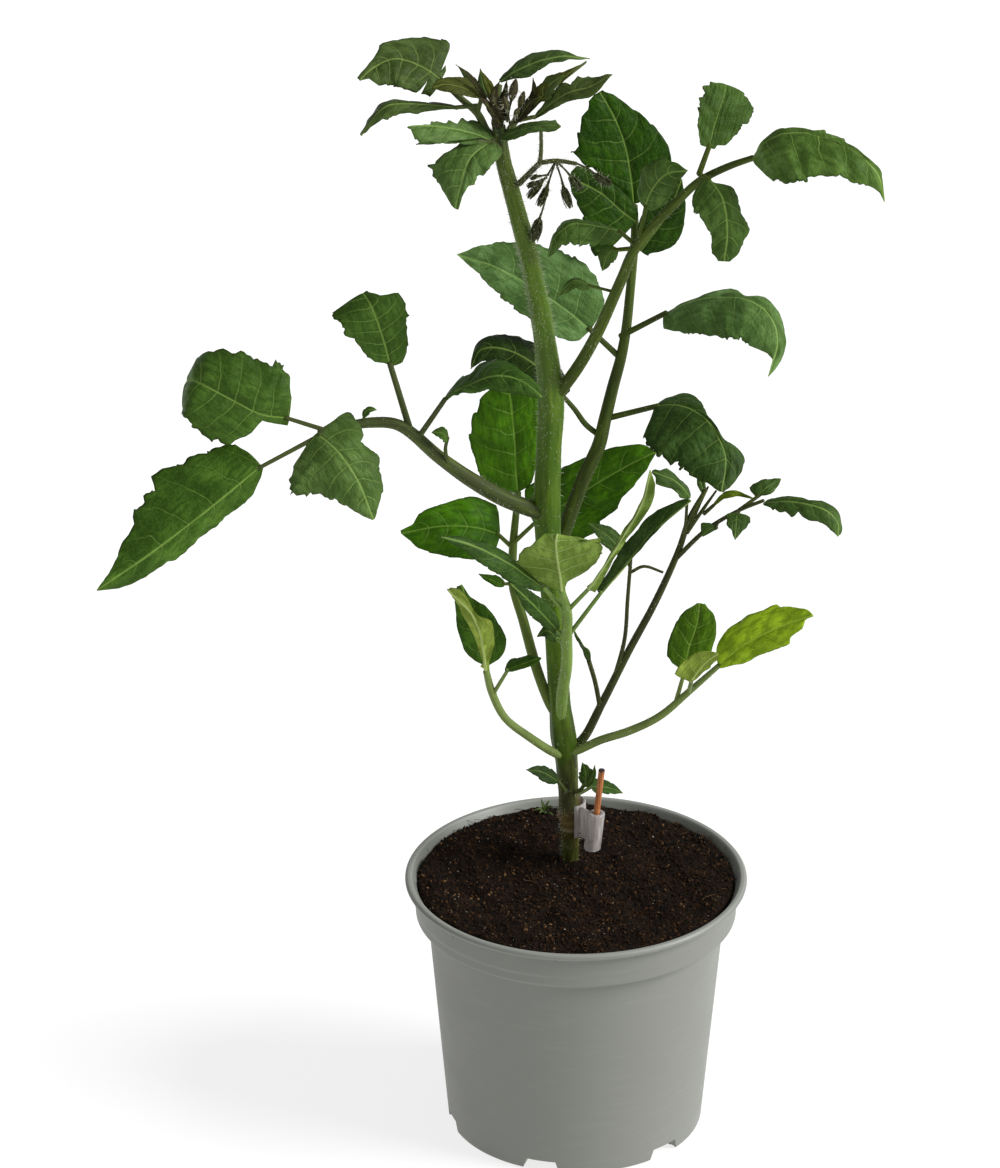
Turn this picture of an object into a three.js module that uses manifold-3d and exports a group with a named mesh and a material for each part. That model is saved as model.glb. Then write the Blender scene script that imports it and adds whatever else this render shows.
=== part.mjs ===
// A young grafted tomato plant in a round plastic nursery pot, in millimetres.
// Z is up, X is to the viewer's right and -Y is towards the viewer.
// The origin is the middle of the pot's flat underside.
import * as THREE from 'three';
import Module from 'manifold-3d';

const wasm = await Module();
wasm.setup();

// Pot
const potHeight = 103;
const rimRadius = 65;
const lipWidth = 3;
const lipDepth = 2.4;
const collarRadius = 61.6;
const collarDepth = 15;
const bodyTopRadius = 56.4;
const baseRadius = 48.8;
const potWall = 1.1;
const potFloor = 2;
const potSides = 42;
const stepHeight = 2;
const collarTaper = 0.6;
const lipRound = 0.8;
const footRound = 1.2;
const drainCount = 6;
const drainWidth = 16;
const drainHeight = 4.5;
const drainDepth = 9;
const firstDrainAngle = -46;

// Soil
const soilBelowRim = 2.8;
const soilMound = 1.6;
const moundRadius = 45;
const soilLumps = 0.45;
const soilSides = 30;
const soilRings = [48, 35, 21, 8, 0];

// Plant
const neighbourGap = 0.3;
const bladeThickness = 0.8;
const rootSink = 1.2;
const toothLean = 0.1;
const notchAt = 0.25;
const toothAt = 0.85;
const tipLength = 0.6;
const innerColumn = 0.55;
const leastHalfWidth = 0.6;
const petiole = { sides: 5, steps: 1 };
const rachis = { sides: 6, steps: 1 };

// Stick and graft clip
const stickRadius = 1.2;
const clipHeight = 15.5;
const clipBottom = 111.7;
const clipWall = 0.9;
const socketWall = 1.7;
const sleeveRadius = 5;
const sleeveMiddle = [-2.1, 14];
const sleeveFrom = -1.3;
const sleeveTo = 2.1;
const sleeveRise = 2;
const webMiddle = [3.2, 8];
const webLength = 6;
const webTurn = -0.8;
const sleeveSegments = 8;
const socketSegments = 7;

const potGrey = 0x80827c;
const soilBrown = 0x241711;
const stickOrange = 0xb0683c;
const clipWhite = 0xcfd2d0;
const leafGreen = 0x335c22;
const paleGreen = 0x6f9147;
const stemGreen = 0x5a7430;
const darkGreen = 0x2c4420;
const satin = 0.6;

const vector = (place) => new THREE.Vector3(...place);

function finish(color, roughness) {
  return new THREE.MeshStandardMaterial({ color, roughness, metalness: 0 });
}

// Turns a triangle list into a solid, with its faces turned outwards.
function solidOf(places, triangles) {
  let volume = 0;
  for (const [a, b, c] of triangles) {
    const cross = new THREE.Vector3().crossVectors(places[b], places[c]);
    volume += places[a].dot(cross);
  }
  const outward = volume > 0 ? triangles : triangles.map(([a, b, c]) => [a, c, b]);
  return new wasm.Manifold(new wasm.Mesh({
    numProp: 3,
    vertProperties: Float32Array.from(places.flatMap((p) => [p.x, p.y, p.z])),
    triVerts: Uint32Array.from(outward.flat()),
  }));
}

// Merges a geometry's shared corners and turns it into a solid.
function solidFrom(geometry) {
  const source = geometry.index ? geometry.toNonIndexed() : geometry;
  const position = source.attributes.position;
  const places = [];
  const known = new Map();
  const corners = [];
  for (let i = 0; i < position.count; i += 1) {
    const place = new THREE.Vector3().fromBufferAttribute(position, i);
    const key = place.toArray().map((value) => Math.round(value * 1e4)).join(' ');
    if (!known.has(key)) {
      known.set(key, places.length);
      places.push(place);
    }
    corners.push(known.get(key));
  }
  const triangles = [];
  for (let i = 0; i < corners.length; i += 3) {
    const [a, b, c] = corners.slice(i, i + 3);
    if (a !== b && b !== c && a !== c) triangles.push([a, b, c]);
  }
  return solidOf(places, triangles);
}

const join = (...solids) => solids.flat().reduce((whole, solid) => whole.add(solid));

// A solid of revolution about the Z axis, from [radius, height] points.
function turned(profile, sides) {
  const points = profile.map(([radius, height]) => new THREE.Vector2(radius, height));
  return new THREE.LatheGeometry(points, sides).rotateX(Math.PI / 2);
}

// Directions across a route, carried along it without twisting.
function framesAlong(places, start) {
  const tangents = places.map((place, i) => {
    const before = places[Math.max(i - 1, 0)];
    const after = places[Math.min(i + 1, places.length - 1)];
    return after.clone().sub(before).normalize();
  });
  const across = [];
  const middle = Math.floor(places.length / 2);
  const squared = (direction, i) => {
    const along = tangents[i].clone().multiplyScalar(direction.dot(tangents[i]));
    return direction.clone().sub(along).normalize();
  };
  across[middle] = squared(start, middle);
  for (let i = middle + 1; i < places.length; i += 1) across[i] = squared(across[i - 1], i);
  for (let i = middle - 1; i >= 0; i -= 1) across[i] = squared(across[i + 1], i);
  return { tangents, across };
}

// A round stalk whose thickness changes along its route, closed at both ends.
// grow makes the larger copy that is used to keep a neighbour clear of it.
function stalk(route, radii, { sides = 6, steps = 2, grow = 0 } = {}) {
  const curve = new THREE.CatmullRomCurve3(route.map(vector));
  const rings = (route.length - 1) * steps;
  const centres = [];
  for (let i = 0; i <= rings; i += 1) centres.push(curve.getPoint(i / rings));
  const { tangents, across } = framesAlong(centres, new THREE.Vector3(0.3, -0.95, 0.1));
  centres[0].addScaledVector(tangents[0], -grow);
  centres[rings].addScaledVector(tangents[rings], grow);
  const places = [];
  for (let i = 0; i <= rings; i += 1) {
    const at = Math.min(Math.floor(i / steps), route.length - 2);
    const radius = THREE.MathUtils.lerp(radii[at], radii[at + 1], i / steps - at) + grow;
    const side = new THREE.Vector3().crossVectors(tangents[i], across[i]);
    for (let j = 0; j < sides; j += 1) {
      const turn = (2 * Math.PI * j) / sides;
      places.push(centres[i].clone()
        .addScaledVector(across[i], radius * Math.cos(turn))
        .addScaledVector(side, radius * Math.sin(turn)));
    }
  }
  const triangles = [];
  for (let i = 0; i < rings; i += 1) {
    for (let j = 0; j < sides; j += 1) {
      const next = (j + 1) % sides;
      const low = i * sides;
      const high = low + sides;
      triangles.push([low + j, low + next, high + j], [low + next, high + next, high + j]);
    }
  }
  for (let j = 1; j < sides - 1; j += 1) {
    const top = rings * sides;
    triangles.push([0, j + 1, j], [top, top + j, top + j + 1]);
  }
  return solidOf(places, triangles);
}

// How wide a blade is at t along its rib, as a share of its widest place, which is at peak.
// A low foot or sharp makes that end of the blade rounder.
function bladeShape(t, peak, foot, sharp) {
  const bulge = Math.sin(Math.PI * t ** (Math.log(0.5) / Math.log(peak)));
  return Math.max(bulge, 0) ** (t < peak ? foot : sharp);
}

// One leaflet: a thin toothed blade on a curved rib, with its own short stalk.
// rib runs from the blade's foot to its tip and face is where its upper side looks.
// The pairs are for the blade's left and right half, seen from above with the tip away:
// wide is each half's width, fold its rise from the rib and curl how far its edge bends down.
// bite is the depth of a tooth and lobe how far the foot's edges reach back past the stalk.
function leaflet({
  rib, face, wide, from, fold = [8, 8], curl = [25, 25], teeth = 4, bite = 0.2,
  peak = 0.38, foot = 0.6, sharp = 0.95, lobe = 0, stem = 0.9, fine = true,
}) {
  const curve = new THREE.CatmullRomCurve3(rib.map(vector));
  const stops = [0];
  for (let k = 0; k < teeth; k += 1) {
    stops.push((k + notchAt) / (teeth + tipLength), (k + toothAt) / (teeth + tipLength));
  }
  stops.push(1);
  const spine = stops.map((t) => curve.getPointAt(t));
  const { tangents, across } = framesAlong(spine, vector(face));
  const columns = fine ? [-1, -innerColumn, 0, innerColumn, 1] : [-1, 0, 1];
  const sheet = spine.map((centre, i) => {
    const t = stops[i];
    const side = new THREE.Vector3().crossVectors(tangents[i], across[i]);
    const isEnd = i === 0 || i === stops.length - 1;
    const isTooth = !isEnd && i % 2 === 0;
    return columns.map((column) => {
      const half = column < 0 ? 0 : 1;
      const share = Math.abs(column);
      const notch = share === 1 && !isTooth ? 1 - bite : 1;
      const shape = bladeShape(t, peak, foot, sharp) * notch;
      const width = Math.max(wide[half] * shape, leastHalfWidth);
      const rise = THREE.MathUtils.degToRad(fold[half]);
      const bend = THREE.MathUtils.degToRad(curl[half]);
      const reach = (Math.sin(rise) - Math.sin(rise - bend * share)) / bend;
      const lift = (Math.cos(rise - bend * share) - Math.cos(rise)) / bend;
      const lean = isTooth && share === 1 ? toothLean * width : 0;
      const back = isEnd ? 0 : lobe * width * share * (1 - t) ** 3;
      return centre.clone()
        .addScaledVector(side, Math.sign(column) * width * reach)
        .addScaledVector(across[i], width * lift)
        .addScaledVector(tangents[i], lean - back - (i === 0 ? rootSink : 0));
    });
  });
  const blade = thicken(sheet);
  if (!from) return blade;
  const end = spine[0].clone().addScaledVector(tangents[0], rootSink).toArray();
  return blade.add(stalk([from, end], [stem, stem * 0.9], petiole));
}

// Gives a sheet of rows and columns of points an even thickness.
function thicken(sheet) {
  const rows = sheet.length;
  const columns = sheet[0].length;
  const top = [];
  const bottom = [];
  for (let i = 0; i < rows; i += 1) {
    for (let j = 0; j < columns; j += 1) {
      const along = sheet[Math.min(i + 1, rows - 1)][j].clone().sub(sheet[Math.max(i - 1, 0)][j]);
      const beside = sheet[i][Math.min(j + 1, columns - 1)].clone()
        .sub(sheet[i][Math.max(j - 1, 0)]);
      const normal = beside.cross(along).normalize();
      top.push(sheet[i][j].clone().addScaledVector(normal, bladeThickness / 2));
      bottom.push(sheet[i][j].clone().addScaledVector(normal, -bladeThickness / 2));
    }
  }
  const under = top.length;
  const triangles = [];
  const quad = (a, b, c, d) => triangles.push([a, b, c], [b, d, c]);
  for (let i = 0; i < rows - 1; i += 1) {
    for (let j = 0; j < columns - 1; j += 1) {
      const a = i * columns + j;
      const [b, c, d] = [a + 1, a + columns, a + columns + 1];
      quad(a, b, c, d);
      triangles.push([under + a, under + c, under + b], [under + b, under + c, under + d]);
    }
    const left = i * columns;
    const right = left + columns - 1;
    quad(left, left + columns, under + left, under + left + columns);
    quad(right + columns, right, under + right + columns, under + right);
  }
  const last = (rows - 1) * columns;
  for (let j = 0; j < columns - 1; j += 1) {
    quad(j + 1, j, under + j + 1, under + j);
    quad(last + j, last + j + 1, under + last + j, under + last + j + 1);
  }
  return solidOf([...top, ...bottom], triangles);
}

// The pot: a rolled lip, a collar with a sloped step, a tapered body and drain notches.
function potSolid() {
  const lipInner = rimRadius - lipWidth;
  const lipUnder = potHeight - lipDepth;
  const stepTop = potHeight - collarDepth;
  const stepBottom = stepTop - stepHeight;
  const collarFoot = collarRadius - collarTaper;
  const profile = [
    [0, 0], [baseRadius - footRound, 0], [baseRadius, footRound],
    [bodyTopRadius, stepBottom], [collarFoot, stepTop], [collarRadius, lipUnder],
    [rimRadius - lipRound / 2, lipUnder], [rimRadius, lipUnder + lipRound],
    [rimRadius, potHeight - lipRound], [rimRadius - lipRound, potHeight],
    [lipInner + lipRound, potHeight], [lipInner, potHeight - lipRound],
    [collarRadius - potWall, lipUnder - potWall / 2], [collarFoot - potWall, stepTop + potWall / 2],
    [bodyTopRadius - potWall, stepBottom + potWall / 2], [baseRadius - potWall, potFloor],
    [0, potFloor],
  ];
  let pot = solidFrom(turned(profile, potSides));
  for (let k = 0; k < drainCount; k += 1) {
    const notch = new THREE.BoxGeometry(drainDepth, drainWidth, 2 * drainHeight)
      .translate(baseRadius, 0, 0)
      .rotateZ(THREE.MathUtils.degToRad(firstDrainAngle + (360 / drainCount) * k));
    pot = pot.subtract(solidFrom(notch));
  }
  return pot;
}

// The soil fills the pot up to its collar, with low lumps and a slight mound at the stem.
function soilSolid() {
  const wall = potWall + neighbourGap;
  const floor = potFloor + neighbourGap;
  const surface = potHeight - soilBelowRim;
  const stepTop = potHeight - collarDepth;
  const wallTop = collarRadius - wall;
  const soil = turned([
    [0, floor], [baseRadius - wall, floor],
    [bodyTopRadius - wall, stepTop - stepHeight / 2],
    [wallTop - collarTaper, stepTop + stepHeight / 2],
    [wallTop - 0.1, surface - 0.5], [wallTop - 1.5, surface],
    ...soilRings.map((radius) => [radius, surface]),
  ], soilSides);
  const { position } = soil.attributes;
  const [stemX, stemY] = mainStemRoute[0];
  for (let i = 0; i < position.count; i += 1) {
    const [x, y, z] = [position.getX(i), position.getY(i), position.getZ(i)];
    if (z > surface - 0.1 && Math.hypot(x, y) < soilRings[0] + 1) {
      const near = Math.max(1 - Math.hypot(x - stemX, y - stemY) / moundRadius, 0);
      const lumps = Math.sin(x * 0.31 + y * 0.12) + Math.sin(y * 0.37 - x * 0.19);
      position.setZ(i, z + soilMound * near + soilLumps * lumps);
    }
  }
  return solidFrom(soil);
}

const mainStemRoute = [
  [-2, 15, 50], [-2, 15, 101], [-2, 14, 112], [-2.2, 14, 122], [-2.8, 14, 130], [-3.5, 14, 143],
  [-4.8, 13, 154], [-6.5, 12, 171], [-8, 12, 196], [-10.6, 10, 231], [-11.4, 8, 251],
  [-10.8, 6, 278], [-10, 4, 299], [-13, 2, 328], [-18, 0, 356], [-24, -2, 381],
  [-28, -4, 398], [-29.5, -5, 411],
];
const mainStemRadii = [
  2.4, 3.2, 3.3, 4.4, 3.8, 4.2, 4.8, 4.0, 4.0, 4.4, 4.9, 4.6, 4.8, 3.9, 3.5, 3.1, 2.8, 2.4,
];
const stemFacets = { sides: 9, steps: 1 };
const mainStem = stalk(mainStemRoute, mainStemRadii, stemFacets);
const grownStem = stalk(mainStemRoute, mainStemRadii, { ...stemFacets, grow: neighbourGap });

const stickRoute = [[6.2, 4, 112.2], [9.6, 4, 145.6]];
const stickFacets = { sides: 9, steps: 1 };
const stickRadii = [stickRadius, stickRadius];
const supportStick = stalk(stickRoute, stickRadii, stickFacets);
const grownStick = stalk(stickRoute, stickRadii, { ...stickFacets, grow: neighbourGap });

// Keeps a leaf or bud clear of the stem that it grows from, and of other neighbours.
const clearOfStem = (solid, ...others) => others
  .reduce((rest, other) => rest.subtract(other), solid.subtract(grownStem));

// A clear silicone grafting clip: an open sleeve at the stem's graft scar, with a socket on a web
// that holds a short length of stick.
function graftClip() {
  const [[footX, stickY, footZ], [topX, , topZ]] = stickRoute;
  const lean = Math.atan2(topX - footX, topZ - footZ);
  const socketX = footX + (clipBottom - footZ) * Math.tan(lean);
  const sleeve = new THREE.Shape();
  sleeve.absarc(0, 0, sleeveRadius + clipWall, sleeveFrom, sleeveTo, false);
  sleeve.absarc(0, 0, sleeveRadius, sleeveTo, sleeveFrom, true);
  const socket = new THREE.Shape();
  socket.absarc(0, 0, stickRadius + neighbourGap + socketWall, 0, 2 * Math.PI, false);
  const split = new THREE.ExtrudeGeometry(sleeve, {
    depth: clipHeight - sleeveRise, bevelEnabled: false, curveSegments: sleeveSegments,
  }).translate(...sleeveMiddle, clipBottom + sleeveRise);
  const web = new THREE.BoxGeometry(webLength, clipWall, clipHeight - sleeveRise)
    .rotateZ(webTurn).translate(...webMiddle, clipBottom + (clipHeight + sleeveRise) / 2);
  const round = new THREE.ExtrudeGeometry(socket, {
    depth: clipHeight, bevelEnabled: false, curveSegments: socketSegments,
  }).rotateY(lean).translate(socketX, stickY, clipBottom);
  return join(solidFrom(split), solidFrom(round), solidFrom(web))
    .subtract(grownStick).subtract(grownStem);
}

// A tiny seedling near the back of the pot. grow gives the hole that its root stands in.
function soilSprout(grow) {
  const fork = [-11.5, 50, 104];
  const root = stalk([[-11, 50, 92], fork], [0.8, 0.6], { ...petiole, grow });
  if (grow) return root;
  const tips = [[-15, 49, 105.5], [-12.5, 51, 108.5], [-8.8, 49, 106.5]];
  return join(root, tips.map((tip) => stalk([fork, tip], [0.5, 1], petiole)));
}

// The large leaf on the upper left, with five leaflets on a long arching stalk.
function leafLeftUpper() {
  const end = [-95, -16, 295];
  return clearOfStem(join(
    stalk(
      [[-9, 9, 249], [-27, 3, 259], [-40, -1, 269], [-51, -4, 279], [-66, -8, 294],
        [-76, -10, 296], end],
      [3.3, 3.2, 2.9, 2.5, 2.2, 2, 1.3],
    ),
    leaflet({
      from: [-92, -15.5, 295],
      rib: [[-116, -24, 285], [-137, -35, 271], [-157, -43, 258], [-176, -48, 246]],
      face: [-0.2, -0.75, 0.62], wide: [13, 23], fold: [-50, 4], curl: [10, 14],
      teeth: 4, bite: 0.24, peak: 0.34, foot: 0.35, lobe: 0.2,
    }),
    leaflet({
      from: [-93, -15.5, 295.5],
      rib: [[-106, -15, 300], [-116, -16, 302], [-127, -14, 307], [-139, -10, 312], [-144, -2, 309]],
      face: [0.05, -0.9, 0.42], wide: [15, 19], curl: [20, 25], teeth: 4, bite: 0.08,
      peak: 0.45, sharp: 0.5, foot: 0.3, lobe: 0.3,
    }),
    leaflet({
      from: [-91, -15, 295], rib: [[-96, -17, 295], [-89, -24, 292], [-81, -31, 283],
        [-75, -34, 268]],
      face: [-0.1, -0.8, 0.6], wide: [15, 20], fold: [-10, 4], curl: [30, 22], teeth: 4,
      bite: 0.12, peak: 0.35, foot: 0.25, lobe: 0.35,
    }),
    leaflet({
      from: [-62, -7, 292], rib: [[-69, 0, 314], [-72, 1, 326], [-76, 3, 337], [-79, 8, 340]],
      face: [0.1, -0.95, 0.3], wide: [15, 13], curl: [20, 30], teeth: 4, bite: 0.12,
      peak: 0.55, sharp: 0.6, foot: 0.5, stem: 1.3,
    }),
    leaflet({
      from: [-58, -7, 290], rib: [[-49, -12, 306], [-36, -19, 319], [-26, -22, 322],
        [-13, -28, 316]],
      face: [0, -0.35, 0.95], wide: [10, 12], fold: [-40, -40], curl: [15, 20], teeth: 4,
      bite: 0.12, peak: 0.5, stem: 1.1,
    }),
    stalk([[-48, -5, 277], [-49, -7, 284], [-48, -8, 289]], [0.8, 0.7, 0.6], petiole),
    leaflet({
      rib: [[-48, -8, 288], [-50, -9, 291], [-54, -10, 292]], face: [0, -0.6, 0.8],
      wide: [3, 3], teeth: 2, bite: 0.25, fine: false,
    }),
    leaflet({
      from: [-80, -11, 295], rib: [[-79, -12, 299], [-77, -12, 302], [-74, -12, 302]],
      face: [0, -0.7, 0.7], wide: [1.6, 1.6], teeth: 1, bite: 0.3, fine: false, stem: 0.6,
    }),
  ));
}

// The leaf that rises to the upper right and ends in drooping leaflets.
function leafRightUpper() {
  const end = [60, -42, 417];
  const node = [21, -23, 371];
  const top = [42, -36, 405];
  return clearOfStem(join(
    stalk(
      [[-10, 4, 298], [-4, 0, 311], [4, -8, 329], [12, -15, 348], node, [31, -30, 391], top,
        [52, -40, 413], end],
      [2.9, 3.2, 3, 2.9, 2.6, 2.2, 1.9, 1.4, 1.1],
      rachis,
    ),
    leaflet({
      rib: [[59, -41.5, 416.5], [68, -46, 422], [82, -52, 426], [94, -57, 422], [107, -60, 409]],
      face: [0.05, -0.6, 0.8], wide: [10, 16], fold: [-50, -8], curl: [20, 25], teeth: 4,
      bite: 0.12, peak: 0.35, foot: 0.4,
    }),
    leaflet({
      from: top, rib: [[45, -34, 416], [47, -30, 426], [49, -27, 433], [50, -20, 434]],
      face: [0.1, -0.95, 0.2], wide: [9, 13], curl: [20, 20], teeth: 3, bite: 0.16,
      peak: 0.5, sharp: 0.55, foot: 0.4, stem: 1.1,
    }),
    leaflet({
      from: top, rib: [[45, -41, 406], [50, -48, 401], [52, -51, 389], [51, -52, 378]],
      face: [0.15, -0.8, 0.6], wide: [10, 10], fold: [2, -10], curl: [28, 20], teeth: 3,
      bite: 0.16, peak: 0.36, foot: 0.35,
    }),
    leaflet({
      from: node, rib: [[15, -22, 377], [7, -24, 380], [-2, -26, 382], [-9, -28, 378],
        [-12, -28, 369]],
      face: [0.1, -0.5, 0.85], wide: [9, 8], fold: [-15, -35], curl: [20, 20], teeth: 4,
      bite: 0.14, peak: 0.42,
    }),
    leaflet({
      from: [21, -24, 373], rib: [[23, -27, 388], [26, -30, 397], [31, -33, 404],
        [38, -35, 406]],
      face: [0, -0.8, 0.6], wide: [8, 8], curl: [35, 30], teeth: 3, bite: 0.16, peak: 0.45,
    }),
    leaflet({
      from: node, rib: [[13, -23, 371], [10, -23, 368], [8, -23, 362]],
      face: [0, -0.8, 0.6], wide: [3.5, 3.5], teeth: 2, bite: 0.2, fine: false,
    }),
    leaflet({
      from: [12, -14, 350], rib: [[4, -16, 353], [-2, -18, 356], [-8, -18, 350]],
      face: [0, -0.5, 0.85], wide: [3.5, 3], fold: [-20, -20], teeth: 2, fine: false, stem: 0.6,
    }),
  ));
}

// The tall leaf behind the stem, on the right.
function leafBackRight() {
  const end = [21, 54, 355];
  return clearOfStem(join(
    stalk(
      [[-10, 11, 226], [-1, 17, 244], [8, 24, 269], [13, 33, 291], [16, 38, 306], [18, 42, 320],
        [20, 48, 338], end],
      [2.8, 3, 2.8, 2.6, 2.4, 2, 1.7, 1.4],
      rachis,
    ),
    leaflet({
      rib: [[21, 54.5, 356], [19, 58, 366], [14, 61, 378], [7, 64, 393]],
      face: [0.1, -0.9, 0.4], wide: [20, 19], curl: [15, 15], teeth: 3, bite: 0.05, peak: 0.33,
      foot: 0.4, sharp: 0.8,
    }),
    leaflet({
      rib: [[21, 49, 343], [16, 50, 350], [8, 51, 355], [-4, 51, 363]],
      face: [0, -0.9, 0.4], wide: [12, 12], teeth: 3, bite: 0.05, peak: 0.45, curl: [20, 20],
    }),
    leaflet({
      rib: [[19, 46, 333], [24, 46, 338], [32, 46, 347], [40, 45, 361]],
      face: [0, -0.95, 0.3], wide: [12, 8], teeth: 3, bite: 0.05, peak: 0.45,
    }),
    leaflet({
      from: [16, 39, 309], rib: [[32, 34, 319], [41, 30, 325], [54, 24, 331], [66, 17, 333],
        [74, 8, 326], [70, 2, 309]],
      face: [0, -0.55, 0.85], wide: [9, 16], fold: [-60, -6], curl: [20, 20], teeth: 4,
      bite: 0.1, peak: 0.42, stem: 1.2,
    }),
    leaflet({
      from: [11, 29, 280], rib: [[29, 26, 286], [37, 22, 288], [45, 14, 285], [53, 6, 280],
        [57, -3, 269]],
      face: [0.15, -0.7, 0.7], wide: [11, 19], fold: [-30, -5], curl: [20, 20], teeth: 4,
      bite: 0.1, peak: 0.45, foot: 0.25, sharp: 0.7, lobe: 0.4, stem: 1.2,
    }),
    leaflet({
      from: [15, 37, 302], rib: [[5, 38, 312], [-7, 41, 321], [-29, 47, 333], [-45, 51, 337]],
      face: [0.1, -0.95, 0.35], wide: [12, 18], curl: [15, 25], teeth: 4, bite: 0.06,
      peak: 0.36, foot: 0.4, stem: 1.2,
    }),
    stalk([[8, 27, 274], [3, 28, 278], [-1, 28, 284], [-5, 28, 289]], [1.1, 1.1, 1, 0.9], petiole),
    leaflet({
      rib: [[-5, 28, 289], [-11, 32, 296], [-25, 37, 304], [-36, 38, 304], [-40, 36, 297]],
      face: [0, -0.5, 0.85], wide: [12, 12], fold: [-30, -10], curl: [20, 30], teeth: 3,
      bite: 0.05, peak: 0.42, foot: 0.4,
    }),
  ));
}

// The leaf behind the stem on the left, with three broad leaflets.
function leafBackLeft() {
  const end = [-22, 43, 243];
  return clearOfStem(join(
    stalk(
      [[-6, 12, 162], [-10, 13, 169], [-15, 16, 182], [-20, 22, 199], [-24, 28, 212],
        [-24, 36, 223], end],
      [1.8, 2, 2, 1.9, 1.8, 1.6, 1.2],
      rachis,
    ),
    leaflet({
      rib: [[-22, 42.5, 242], [-24, 46, 252], [-26, 49, 265], [-27, 52, 281]],
      face: [0.1, -0.95, 0.3], wide: [15, 15], curl: [15, 15], teeth: 3, bite: 0.04, peak: 0.42,
      sharp: 0.75, foot: 0.35,
    }),
    leaflet({
      from: [-24, 36, 223], rib: [[-29, 38, 228], [-38, 35, 232], [-51, 32, 234],
        [-66, 28, 233]],
      face: [-0.1, -0.75, 0.65], wide: [15, 10], curl: [25, 25], teeth: 3, bite: 0.05,
      peak: 0.38, foot: 0.4,
    }),
    leaflet({
      from: [-24, 36, 225], rib: [[-16, 36, 230], [1, 36, 239], [18, 35, 253], [30, 34, 264]],
      face: [-0.1, -0.9, 0.45], wide: [17, 12], curl: [20, 15], teeth: 3, bite: 0.04,
      peak: 0.45, foot: 0.4,
    }),
    leaflet({
      from: [-24, 28, 212], rib: [[-27, 27, 212], [-31, 26, 214], [-37, 26, 217]],
      face: [0, -0.7, 0.7], wide: [2, 2.5], teeth: 1, bite: 0.15, fine: false, stem: 0.7,
    }),
  ));
}

// The leaf in front of the stem, seen partly from its pale underside.
function leafFront() {
  const end = [-6, -22, 233];
  return clearOfStem(join(
    stalk(
      [[-6, 11, 163], [-5.5, 5, 177], [-4, -1, 192], [-4, -6, 206], [-4, -14, 221], end],
      [2.0, 2.3, 2.2, 2.1, 1.8, 1.3],
      rachis,
    ),
    leaflet({
      rib: [[-6, -21.5, 233], [-7, -26, 244], [-8, -31, 255], [-9, -34, 262], [-9, -32, 265]],
      face: [0, 0.85, 0.5], wide: [17, 18], fold: [14, 14], curl: [20, 20], teeth: 3,
      bite: 0.06, peak: 0.5, sharp: 0.5, foot: 0.5,
    }),
    leaflet({
      from: [-4, -14, 221], rib: [[4, -22, 234], [10, -26, 246], [17, -29, 260],
        [23, -31, 273], [26, -32, 287]],
      face: [0.7, 0.5, 0.5], wide: [5, 4], fold: [30, 20], curl: [30, 30], teeth: 3,
      bite: 0.06, peak: 0.4, fine: false,
    }),
    leaflet({
      from: [-4, -6, 206], rib: [[8, -14, 228], [19, -17, 244], [30, -20, 259], [41, -22, 270]],
      face: [-0.4, -0.6, 0.7], wide: [6, 2.5], fold: [10, 10], curl: [20, 20], teeth: 3,
      bite: 0.06, peak: 0.45, fine: false,
    }),
    leaflet({
      from: [-4, -13, 219], rib: [[-12, -22, 234], [-25, -30, 248], [-38, -34, 257],
        [-50, -38, 263]],
      face: [0.1, -0.5, 0.85], wide: [6, 7], fold: [-30, -20], curl: [25, 20], teeth: 3,
      bite: 0.08, peak: 0.42, fine: false,
    }),
    leaflet({
      from: [-4, -6, 205], rib: [[-7, -7, 209], [-14, -10, 219], [-25, -13, 232]],
      face: [0.3, -0.7, 0.6], wide: [4, 5], fold: [-10, 10], teeth: 2, bite: 0.1, peak: 0.4,
      fine: false,
    }),
    leaflet({
      from: [-4, -4, 202], rib: [[-7, -2, 203], [-11, 0, 206], [-15, 1, 203]],
      face: [0, -0.7, 0.7], wide: [3, 3], teeth: 1, bite: 0.1, fine: false,
    }),
  ));
}

// The small leaf low on the left.
function leafLowerLeft() {
  const end = [-34, -12, 195];
  return clearOfStem(join(
    stalk(
      [[-5, 12, 148], [-8, 9, 150], [-18, 5, 159], [-27, -1, 170], [-32, -7, 184], end],
      [1.6, 1.7, 1.6, 1.5, 1.5, 1.3],
    ),
    leaflet({
      rib: [[-34, -12, 195], [-37, -9, 207], [-40, -7, 218], [-43, -6, 228]],
      face: [0.15, -0.9, 0.4], wide: [7.5, 10], curl: [20, 20], teeth: 2, bite: 0.04,
      peak: 0.4, sharp: 0.7, foot: 0.4,
    }),
    leaflet({
      rib: [[-34, -12.6, 196], [-36, -17, 213], [-40, -20, 224], [-48, -24, 235]],
      face: [0.3, 0.8, 0.5], wide: [5, 4], fold: [30, 30], teeth: 2, bite: 0.1, peak: 0.4,
      fine: false,
    }),
    leaflet({
      from: [-31.5, -7, 183], rib: [[-28, -11, 193], [-23, -13, 199], [-14, -16, 205]],
      face: [0, -0.4, 0.9], wide: [4, 4], fold: [-30, -30], teeth: 2, bite: 0.08,
      fine: false, stem: 0.8,
    }),
  ));
}

const lowerRightRoute = [
  [-3, 12, 149], [0, 11, 150], [9, 8, 156], [20, 6, 161], [31, 4, 168], [42, 1, 180],
  [53, -3, 193],
];
const lowerRightRadii = [1.6, 1.7, 1.6, 1.6, 1.5, 1.3, 1.0];

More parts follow.
